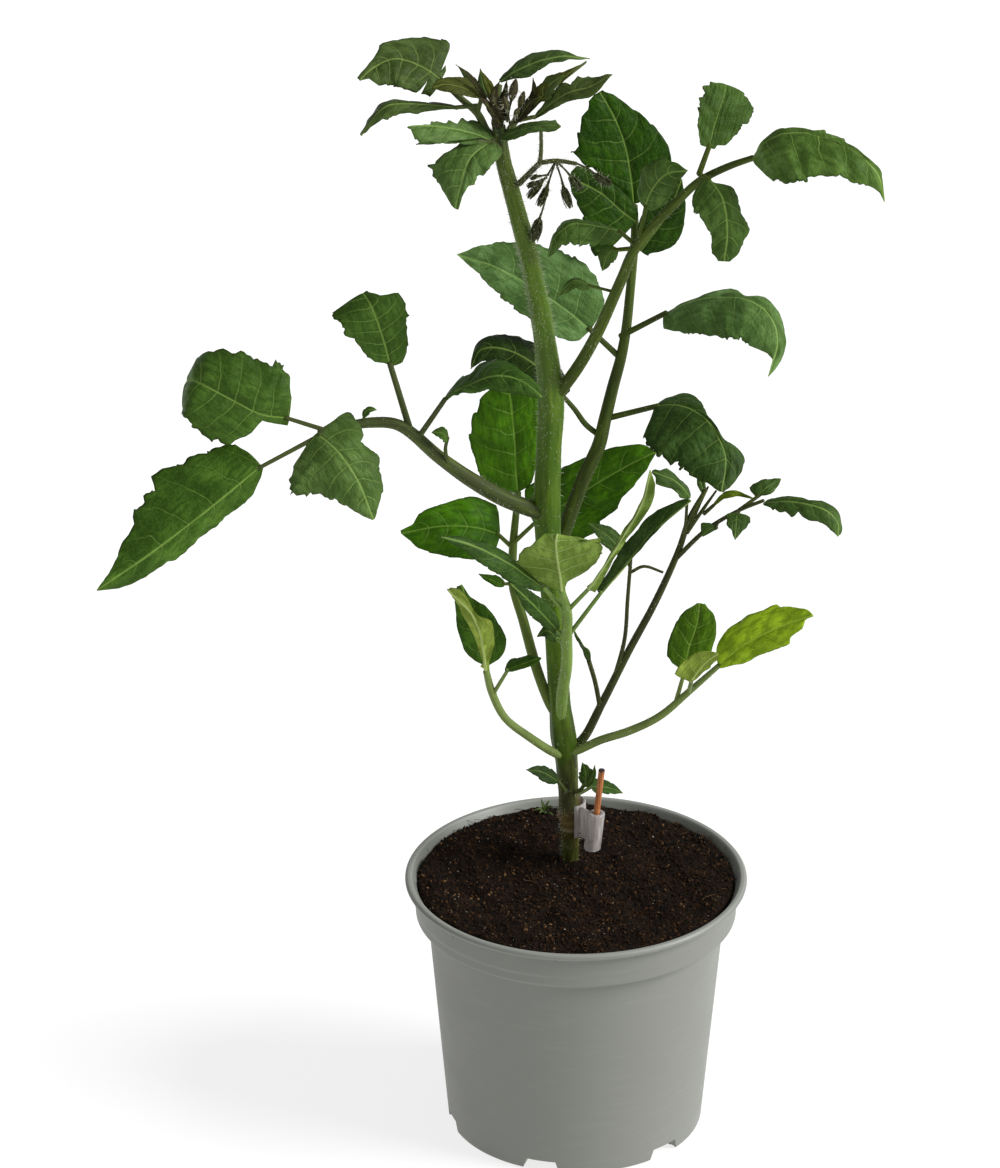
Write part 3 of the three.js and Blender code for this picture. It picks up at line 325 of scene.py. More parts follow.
def potTree(material):
    tree, given = newTree("turnedPot", [
        ("Sides", "Int", 240), ("Drains", "Int", 6), ("Drain Width", "Float", 0.014),
        ("Drain Height", "Float", 0.0045), ("Drain Depth", "Float", 0.034),
        ("Drain Slant", "Float", 0.16), ("Drain Radius", "Float", 0.0488),
        ("First Drain", "Float", 0.0), ("Sharp From", "Float", 0.56)])
    size = addNode(tree, "GeometryNodeAttributeDomainSize", {0: given["Geometry"]},
                   component="MESH")
    rows = maths(tree, "ADD", given["Sides"], 1.0)
    grid = addNode(tree, "GeometryNodeMeshGrid", {
        "Vertices X": size.outputs["Point Count"], "Vertices Y": rows})
    index = addNode(tree, "GeometryNodeInputIndex").outputs[0]
    ring = maths(tree, "FLOOR", maths(tree, "DIVIDE", index, rows))
    turn = maths(tree, "SUBTRACT", index, times(tree, ring, rows))
    angle = maths(tree, "DIVIDE", times(tree, turn, 2 * math.pi), given["Sides"])
    spot = addNode(tree, "GeometryNodeInputPosition").outputs[0]
    at = addNode(tree, "GeometryNodeSampleIndex", {
        0: given["Geometry"], "Value": spot, "Index": ring}, data_type="FLOAT_VECTOR")
    parts = partsOf(tree, at.outputs[0])
    where = vectorOf(tree, times(tree, parts[0], maths(tree, "COSINE", angle)),
                     times(tree, parts[0], maths(tree, "SINE", angle)), parts[2])
    shell = addNode(tree, "GeometryNodeSetPosition", {
        "Geometry": grid.outputs[0], "Position": where})
    welded = addNode(tree, "GeometryNodeMergeByDistance", {0: shell.outputs[0], "Distance": 1e-6})
    block = vectorOf(tree, given["Drain Depth"], given["Drain Width"],
                     times(tree, given["Drain Height"], 2.0))
    cube = addNode(tree, "GeometryNodeMeshCube", {"Size": block})
    corner = partsOf(tree, addNode(tree, "GeometryNodeInputPosition").outputs[0])
    inward = times(tree, maths(tree, "GREATER_THAN", corner[2], 0.0),
                   times(tree, corner[1], given["Drain Slant"]))
    cutter = addNode(tree, "GeometryNodeSetPosition", {
        0: cube.outputs[0], "Offset": vectorOf(tree, y=times(tree, inward, -2.0))})
    circle = addNode(tree, "GeometryNodeMeshCircle", {
        "Vertices": given["Drains"], "Radius": given["Drain Radius"]})
    order = addNode(tree, "GeometryNodeInputIndex").outputs[0]
    step = maths(tree, "DIVIDE", 2 * math.pi, given["Drains"])
    cuts = addNode(tree, "GeometryNodeInstanceOnPoints", {
        "Points": circle.outputs[0], "Instance": cutter.outputs[0],
        "Rotation": vectorOf(tree, z=times(tree, order, step))})
    turned = addNode(tree, "GeometryNodeTransform", {
        0: cuts.outputs[0], "Rotation": vectorOf(tree, z=given["First Drain"])})
    real = addNode(tree, "GeometryNodeRealizeInstances", {0: turned.outputs[0]})
    cut = addNode(tree, "GeometryNodeMeshBoolean", {0: welded.outputs[0], 1: real.outputs[0]},
                  operation="DIFFERENCE")
    fold = addNode(tree, "GeometryNodeInputMeshEdgeAngle").outputs[0]
    sharp = addNode(tree, "FunctionNodeCompare", {0: fold, 1: given["Sharp From"]})
    crisp = addNode(tree, "GeometryNodeSetShadeSmooth", {
        "Geometry": cut.outputs[0], "Selection": sharp.outputs[0], "Shade Smooth": False},
        domain="EDGE")
    endTree(tree, crisp.outputs[0], material)
    return tree


# polypropylene, injection moulded from recycled grey stock: satin, faintly mottled, flow lines,
# and a paler top of the lip that is a painted highlight
potGrey, tree, shader = newMaterial("greyMouldedPolypropylene")
spot = ownSpot(tree)
cloud = noiseAt(tree, spot, 26, 3).outputs[0]
flow = addNode(tree, "ShaderNodeTexNoise", {
    "Vector": addNode(tree, "ShaderNodeMapping", {0: spot, "Scale": (1, 1, 9)}).outputs[0],
    "Scale": 70, "Detail": 3.0}).outputs[0]
colour = mixColour(tree, cloud, tone("#777972"), tone("#7e8079"))
colour = mixColour(tree, fade(tree, flow, 0.5, 0.75, 0, 0.14), colour, tone("#8f918a"))
# painted highlight: the flat top of the lip is mixed towards pale grey, as if light fell on it
lipTopHighlight = fade(tree, partsOf(tree, spot)[2], 0.1021, 0.103, 0, 0.45)
grain = noiseAt(tree, spot, 0.7, 2).outputs[0]
wire(tree, shader, {
    "Base Color": mixColour(tree, lipTopHighlight, colour, tone("#a7a9a2")), "IOR": 1.49,
    "Roughness": fade(tree, cloud, 0.3, 0.7, 0.42, 0.56),
    "Normal": bump(tree, flow, 0.06, 0.2, bump(tree, grain, 0.1, 0.08))})

profile = potProfile()
line = bpy.data.meshes.new("potProfile")
line.from_pydata([(r * mm, 0, z * mm) for r, z in profile],
                 [(i, i + 1) for i in range(len(profile) - 1)], [])
potMesh = grow("nurseryPot", line, potTree(potGrey), {
    "Sides": pot["sides"], "Drains": pot["drains"], "Drain Width": pot["drainWidth"] * mm,
    "Drain Height": pot["drainHeight"] * mm, "Drain Radius": pot["base"] * mm,
    "First Drain": math.radians(pot["firstDrain"]), "Drain Depth": pot["drainDepth"] * mm,
    "Drain Slant": pot["drainSlant"], "Sharp From": math.radians(pot["sharpFrom"])})
potPiece = addObject("nurseryPot", potMesh)
place(potPiece, "pot", "pot")
print("stage: pot", len(potMesh.polygons))


# stalks: tubes that follow a path, grown by one tree

def tubeTree(material):
    tree, given = newTree("stalkTube", [("Facets", "Int", 10)])
    line = addNode(tree, "GeometryNodeMeshToCurve", {0: given["Geometry"]})
    thick = addNode(tree, "GeometryNodeInputNamedAttribute", {"Name": "thick"}, data_type="FLOAT")
    far = addNode(tree, "GeometryNodeSplineParameter").outputs["Length"]
    marked = addNode(tree, "GeometryNodeStoreNamedAttribute", {
        "Geometry": line.outputs[0], "Name": "along", "Value": far}, data_type="FLOAT")
    sized = addNode(tree, "GeometryNodeSetCurveRadius", {0: marked.outputs[0],
                                                         "Radius": thick.outputs[0]})
    circle = addNode(tree, "GeometryNodeCurvePrimitiveCircle", {
        "Resolution": given["Facets"], "Radius": 1.0})
    spot = addNode(tree, "GeometryNodeInputPosition").outputs[0]
    ring = addNode(tree, "GeometryNodeStoreNamedAttribute", {
        "Geometry": circle.outputs[0], "Name": "ring", "Value": spot}, data_type="FLOAT_VECTOR")
    tube = addNode(tree, "GeometryNodeCurveToMesh", {
        "Curve": sized.outputs[0], "Profile Curve": ring.outputs[0], "Fill Caps": True})
    if "Scale" in tube.inputs:
        tree.links.new(thick.outputs[0], tube.inputs["Scale"])
    soft = addNode(tree, "GeometryNodeSetShadeSmooth", {0: tube.outputs[0]})
    endTree(tree, soft.outputs[0], material)
    return tree


def stalkLines(name, stalks):  # [(route mm, radii mm, hex)] as one mesh of edges
    places, edges, thick, tints = [], [], [], []
    for route, radii, colour in stalks:
        count = max(int(sum(math.dist(a, b) for a, b in zip(route, route[1:])) / 1.6), 6)
        steps = max(count // (len(route) - 1), 2)
        line = pathOf(route, steps * (len(route) - 1), even=False)
        radius = np.interp(np.linspace(0, len(radii) - 1, len(line)), range(len(radii)), radii)
        ends = unit(np.array([line[0] - line[1], line[-1] - line[-2]]))
        line = np.vstack([line[0] + ends[0] * radius[0] * 0.5, line[0] + ends[0] * radius[0] * 0.3,
                          line, line[-1] + ends[1] * radius[-1] * 0.3,
                          line[-1] + ends[1] * radius[-1] * 0.5])
        radius = np.concatenate([[radius[0] * 0.4, radius[0] * 0.85], radius,
                                 [radius[-1] * 0.85, radius[-1] * 0.4]])
        first = len(places)
        places += line.tolist()
        edges += [(first + i, first + i + 1) for i in range(len(line) - 1)]
        thick += radius.tolist()
        tints += [tone(colour)] * len(line)
    mesh = bpy.data.meshes.new(name)
    mesh.from_pydata((np.array(places) * mm).tolist(), edges, [])
    store(mesh, "thick", "FLOAT", np.array(thick) * mm)
    store(mesh, "tint", "FLOAT_COLOR", tints)
    store(mesh, "hairs", "FLOAT", [0.6] * len(thick))
    return mesh


# living tomato stalk: waxy green skin under short hairs, with streaks and bronzed patches
stalkSkin, tree, shader = newMaterial("tomatoStalkSkin")
spot, tint = ownSpot(tree), stored(tree, "tint", "Color")
girth = addNode(tree, "ShaderNodeVectorMath", {
    0: stored(tree, "ring", "Vector"), 1: (0.003, 0.003, 0)}, operation="MULTIPLY")
run = vectorOf(tree, z=times(tree, stored(tree, "along"), 0.08))
skinSpot = addNode(tree, "ShaderNodeVectorMath", {0: girth.outputs[0], 1: run})
streak = noiseAt(tree, skinSpot.outputs[0], 1.1, 3).outputs[0]  # streaks 1 mm wide, 12 mm long
patch = noiseAt(tree, spot, 14, 2).outputs[0]
light = mixColour(tree, 0.25, tint, tone("#8ba238"))
colour = mixColour(tree, fade(tree, streak, 0.4, 0.7, 0, 0.7), tint, light)
colour = mixColour(tree, fade(tree, patch, 0.5, 0.72, 0, 0.35), colour, tone("#3b3a24"))
wire(tree, shader, {"Base Color": colour, "Roughness": 0.52, "Specular IOR Level": 0.12,
                    "Normal": bump(tree, streak, 0.5, 0.25)})

tubes = tubeTree(stalkSkin)


# fine white plant hairs: glassy, catch the light. Drawn several times too thick, to show: 0.1 mm,
# and 0.16 mm at the tip and on the truss
hairWhite, tree, shader = newMaterial("whitePlantHair")
wire(tree, shader, {"Roughness": 0.35, "Base Color": ramp(
    tree, noiseAt(tree, ownSpot(tree), 3).outputs[0],
    [(0.3, tone("#9fa57c")), (0.7, tone("#e8e9d4"))])})


def hairTree(material):
    tree, given = newTree("fineHairs", [
        ("Per Square Metre", "Float", 900000.0), ("Length", "Float", 0.0011),
        ("Root Radius", "Float", 0.00005), ("Seed", "Int", 3)])
    amount = addNode(tree, "GeometryNodeInputNamedAttribute", {"Name": "hairs"}, data_type="FLOAT")
    density = times(tree, amount.outputs[0], given["Per Square Metre"])
    spread = addNode(tree, "GeometryNodeDistributePointsOnFaces", {
        "Mesh": given["Geometry"], "Density": density, "Seed": given["Seed"]})
    needle = addNode(tree, "GeometryNodeMeshCone", {
        "Vertices": 3, "Radius Top": 0.0, "Radius Bottom": given["Root Radius"],
        "Depth": given["Length"]})
    lean = randomOf(tree, (-0.5, -0.5, 0.0), (0.5, 0.5, 6.28), given["Seed"])
    turn = addNode(tree, "FunctionNodeRotateEuler", {
        0: spread.outputs["Rotation"], 1: lean}, space="LOCAL")
    size = randomOf(tree, 0.45, 1.25, given["Seed"])
    planted = addNode(tree, "GeometryNodeInstanceOnPoints", {
        "Points": spread.outputs[0], "Instance": needle.outputs[0], "Rotation": turn.outputs[0],
        "Scale": vectorOf(tree, 1.0, 1.0, size)})
    endTree(tree, planted.outputs[0], material)
    return tree


hairs = hairTree(hairWhite)
hairLook = {"leaf": 0.0015, "leafCount": 3e5, "stem": 0.0019, "stemCount": 5e5, "bud": 0.002,
            "budRoot": 0.00008}  # lengths and root radius in metres, counts per square metre


# leaf blades

def bladeSkin(name, under):
    # thin leaf tissue: satin cuticle above with sunken pale veins, matt felt below with raised ones
    material, tree, shader = newMaterial(name)
    tint, share, spot = stored(tree, "tint", "Color"), stored(tree, "share"), ownSpot(tree)
    veins = partsOf(tree, addNode(tree, "ShaderNodeUVMap", uv_map="veins").outputs[0])
    blade = addNode(tree, "ShaderNodeUVMap", uv_map="blade").outputs[0]  # 1 is 100 mm
    wobble = addNode(tree, "ShaderNodeTexNoise", {"Vector": blade, "Scale": 14.0, "Detail": 1.0})
    sway = times(tree, maths(tree, "SUBTRACT", wobble.outputs[0], 0.5), 0.3)
    phase = maths(tree, "FRACT", maths(tree, "ADD", maths(tree, "ADD", veins[0], sway), 0.5))
    side = times(tree, maths(tree, "ABSOLUTE", maths(tree, "SUBTRACT", phase, 0.5)), veins[1])
    sideVein = times(tree, fade(tree, side, 0.0006, 0.0036, 1, 0),
                     fade(tree, share, 0.1, 1.0, 1, 0.25))
    midVein = fade(tree, maths(tree, "ABSOLUTE", partsOf(tree, blade)[1]), 0.0015, 0.005, 1, 0)
    net = addNode(tree, "ShaderNodeTexVoronoi", {"Vector": blade, "Scale": 42.0},
                  feature="DISTANCE_TO_EDGE", voronoi_dimensions="2D").outputs[0]
    netVein = fade(tree, net, 0.0, 0.13, 1, 0)
    # painted shade: the blade is darkened in bands beside the side veins, where shade lies in the
    # hollows
    veinSideShade = times(tree, fade(tree, side, 0.003, 0.02, 1, 0), fade(tree, share, 0.02, 0.9, 1, 0.3))
    cloud = noiseAt(tree, spot, 11, 3).outputs[0]
    fleck = noiseAt(tree, spot, 0.9, 2).outputs[0]
    stretched = addNode(tree, "ShaderNodeMapping", {0: blade, "Scale": (0.6, 1.5, 1)}).outputs[0]
    crinkle = addNode(tree, "ShaderNodeTexNoise", {
        "Vector": stretched, "Scale": 30.0, "Detail": 3.0}, noise_dimensions="2D").outputs[0]
    dark = mixColour(tree, 1.0, tint, tone("#a9b298"), "MULTIPLY")
    colour = mixColour(tree, fade(tree, cloud, 0.3, 0.72), dark, tint)
    pale = mixColour(tree, 0.5 if under else 0.34, tint, tone("#b9c48e" if under else "#9fbb5e"))
    rim = fade(tree, share, 0.9, 1.0, 0, 0.45)
    # painted shade: the blade is darkened where the crinkle pattern dips, shade in the wrinkles
    colour = mixColour(tree, fade(tree, crinkle, 0.38, 0.55, 0.7, 0), colour, dark)
    for amount, other in (
            (times(tree, veinSideShade, 0.6), dark), (times(tree, netVein, 0.09), dark if under else pale),
            (times(tree, sideVein, 0.62), pale), (times(tree, midVein, 0.9), pale),
            (fade(tree, fleck, 0.45, 0.85, 0, 0.12), pale),
            (rim, mixColour(tree, 1.0, tint, tone("#7d7a6c"), "MULTIPLY"))):
        colour = mixColour(tree, amount, colour, other)
    sideLines = maths(tree, "MAXIMUM", times(tree, sideVein, 0.8), times(tree, netVein, 0.3))
    lines = maths(tree, "MAXIMUM", midVein, sideLines)
    relief = bump(tree, times(tree, lines, 1.0 if under else -1.0), 0.6, 0.3)
    wire(tree, shader, {
        "Base Color": colour, "Roughness": 0.7 if under else 0.5,
        "Specular IOR Level": 0.08 if under else 0.1,
        "Normal": bump(tree, fleck, 0.25, 0.12, bump(tree, crinkle, 0.8, 0.8, relief))})
    return material


upperSkin = bladeSkin("tomatoLeafUpperSide", False)
underSkin = bladeSkin("tomatoLeafUnderside", True)
# mm, and shares of them. A leaflet whose rib is shorter than "little" gets flatter relief
bladeLook = {"thick": 0.42, "quilt": 0.075, "ridge": 0.35, "slant": 0.85, "grid": 0.95,
             "mostRows": 80, "mostColumns": 18, "little": 26, "toothTip": 0.72, "sway": 0.05,
             "ripple": 0.05, "groove": 0.28, "grooveWidth": 0.9, "ridgeWidth": 0.75,
             "wrinkles": [(19, 0.9), (6.5, 0.38), (2.6, 0.12)]}


def widthAt(t, peak, foot, sharp):
    bulge = np.maximum(np.sin(np.pi * t ** (math.log(0.5) / math.log(peak))), 0)
    return bulge ** np.where(t < peak, foot, sharp)


def leaflet(rng, rib, face, wide, tint, under="", fold=(8, 8), curl=(25, 25), teeth=4, bite=0.2,
            peak=0.38, foot=0.6, sharp=0.95, lobe=0, crimp=1.0, start=None, stem=0.9, outline=None):
    span = sum(math.dist(a, b) for a, b in zip(rib, rib[1:]))
    little = span < bladeLook["little"]
    veinCount = teeth + (1 if little else 2)
    step = bladeLook["grid"] * (0.6 if little else 1.0)
    rows = int(min(max(span / step, 14), bladeLook["mostRows"]))
    half = int(min(max(max(wide) / step, 4), bladeLook["mostColumns"]))
    spine = pathOf(rib, rows + 1)
    tangents, across = carried(spine, face)
    side = np.cross(tangents, across)
    t = np.linspace(0, 1, rows + 1)
    v = np.sign(np.arange(-half, half + 1)) * (np.abs(np.arange(-half, half + 1)) / half) ** 1.1
    far, out = np.meshgrid(t, v, indexing="ij")
    share = np.abs(out)
    right = out > 0
    phase = far * (veinCount + 0.4) - 0.75
    toothPhase = phase + 0.13 * np.sin(2 * np.pi * (0.43 * phase + rng.uniform()) + np.sign(out))
    jitter = rng.uniform(0.3, 1.6, (2, veinCount + 3))
    which = np.clip(np.floor(toothPhase + 1.6).astype(int), 0, veinCount + 2)
    tooth = np.where(right, jitter[1][which], jitter[0][which])
    f, tipAt = np.mod(toothPhase + 0.62, 1.0), bladeLook["toothTip"]  # f is 0 in the notch
    saw = np.where(f < tipAt, (f / tipAt) ** 0.85, ((1 - f) / (1 - tipAt)) ** 0.7)
    fine = 1 - np.abs(2 * np.mod(3 * toothPhase + rng.uniform(), 1) - 1)
    depth, nick = (np.clip(bite * 1.1, 0.07, 0.28), 0.05) if outline is None else (bite, bite)
    edge = 1 - (depth * tooth * (1 - saw) + nick * fine) * share ** 3
    if outline is None:
        swing = 2 * np.pi * (1.3 * far + rng.uniform()) + 2 * np.sign(out)
        sway = bladeLook["sway"] * np.sin(swing)
        shape = widthAt(far, peak, foot, sharp) * (1 + sway) * edge
    else:  # rows of (place along the rib, left width, right width), in hundredths
        stops, lefts, rights = np.array(outline).T / 100
        shape = np.where(right, np.interp(far, stops, rights), np.interp(far, stops, lefts)) * edge
    halfWidth = np.where(right, wide[1], wide[0])
    width = np.maximum(halfWidth * shape, 0.35 * np.sin(np.pi * np.clip(far, 0.02, 0.98)) + 0.1)
    rise = np.radians(np.where(right, fold[1], fold[0]).astype(float))
    bend = np.radians(np.where(right, curl[1], curl[0]).astype(float))
    reach = (np.sin(rise) - np.sin(rise - bend * share)) / bend
    lift = (np.cos(rise - bend * share) - np.cos(rise)) / bend
    forward = (0.13 * width * saw * share ** 4
               - lobe * width * share * (1 - far) ** 3 * np.clip(far * 12, 0, 1))
    base = (spine[:, None] + side[:, None] * (np.sign(out) * width * reach)[..., None]
            + across[:, None] * (width * lift)[..., None] + tangents[:, None] * forward[..., None])
    normal = unit(np.cross(np.gradient(base, axis=1), np.gradient(base, axis=0)))
    # the blade swells between its veins, ripples at its edge and is sunken over the midrib
    order = phase + bladeLook["slant"] * (1 - share ** 1.15)
    gap = span / (veinCount + 0.4)
    body = np.clip(share * 3, 0, 1) * np.sin(np.pi * np.clip(far, 0, 1)) ** 0.5
    quilt = (bladeLook["quilt"] * gap * np.sin(np.pi * order) ** 2 * body * crimp
             * (1 - 0.35 * share))
    ripple = (bladeLook["ripple"] * gap * crimp
              * np.sin(2 * np.pi * (order * 0.5 + rng.uniform()) + np.sign(out))
              * share ** 3 * np.sin(np.pi * far))
    y = np.sign(out) * share * width
    groove = (-bladeLook["groove"] * np.exp(-(y / bladeLook["grooveWidth"]) ** 2)
              * (0 if little else 1))
    height = quilt + ripple + groove
    for size, depthMm in bladeLook["wrinkles"]:
        bumps = np.reshape([noise.noise(Vector(p / size)) for p in base.reshape(-1, 3)], far.shape)
        height = height + (depthMm * (0.5 if little else 1.0) * crimp * bumps
                           * np.sin(np.pi * far) ** 0.4)
    thick = bladeLook["thick"] * (1 - 0.35 * share)
    ridge = (bladeLook["ridge"] * (0.6 if little else 1.3)
             * np.exp(-(y / bladeLook["ridgeWidth"]) ** 2) * (1 - 0.75 * far))
    top = base + normal * (height + thick / 2)[..., None]
    bottom = base + normal * (height - thick / 2 - ridge)[..., None]
    n, m = far.shape
    ids = np.arange(n * m).reshape(n, m)
    a, b, c, d = ids[:-1, :-1], ids[:-1, 1:], ids[1:, 1:], ids[1:, :-1]
    upper = np.stack([a, b, c, d], -1).reshape(-1, 4)
    lower = np.stack([a, d, c, b], -1).reshape(-1, 4) + n * m
    rim = np.concatenate([ids[0, ::-1], ids[1:, 0], ids[-1, 1:], ids[-2:0:-1, -1]])
    after = np.roll(rim, -1)
    wall = np.stack([rim, after, after + n * m, rim + n * m], -1)
    faces = np.concatenate([upper, lower, wall])
    skins = np.concatenate([np.zeros(len(upper), int), np.ones(len(lower) + len(wall), int)])
    places = np.concatenate([top.reshape(-1, 3), bottom.reshape(-1, 3)])
    finer = 2.2 if little else 1  # small leaves have finer veins
    lengths = np.stack([far * span, y * finer], -1).reshape(-1, 2) / 100
    pattern = np.stack([order, np.full_like(order, finer * gap / 100)], -1).reshape(-1, 2)
    upperTint, lowerTint = np.array(tone(tint)), np.array(tone(under or "#7f9455"))
    tints = np.concatenate([np.tile(upperTint, (n * m, 1)), np.tile(lowerTint, (n * m, 1))])
    return {"places": places, "faces": faces, "skins": skins, "tints": tints,
            "veins": np.concatenate([pattern, pattern]),
            "blade": np.concatenate([lengths, lengths]), "share": np.tile(share.ravel(), 2)}


def joinBlades(name, parts):
    first, places, faces, skins, tints, veins, blade, shares = 0, [], [], [], [], [], [], []
    for part in parts:
        places.append(part["places"])
        faces.append(part["faces"] + first)
        first += len(part["places"])
        for kept, key in ((skins, "skins"), (tints, "tints"), (veins, "veins"), (blade, "blade"),
                          (shares, "share")):
            kept.append(part[key])
    mesh = meshOf(name, np.concatenate(places), np.concatenate(faces).tolist())
    for material in (upperSkin, underSkin):
        mesh.materials.append(material)
    mesh.polygons.foreach_set("material_index", np.concatenate(skins).astype(np.int32))
    corners = np.zeros(len(mesh.loops), np.int32)
    mesh.loops.foreach_get("vertex_index", corners)
    for key, values in (("veins", veins), ("blade", blade)):
        layer = mesh.uv_layers.new(name=key)
        layer.data.foreach_set("uv", np.concatenate(values)[corners].ravel())
    store(mesh, "tint", "FLOAT_COLOR", np.concatenate(tints))
    store(mesh, "share", "FLOAT", np.concatenate(shares))
    return mesh


def joined(name, meshes):  # one object from several meshes
    objects = [addObject(name if i == 0 else name + str(i), mesh) for i, mesh in enumerate(meshes)]
    with bpy.context.temp_override(active_object=objects[0], object=objects[0],
                                   selected_objects=objects, selected_editable_objects=objects):
        if len(objects) > 1:
            bpy.ops.object.join()
    return objects[0]


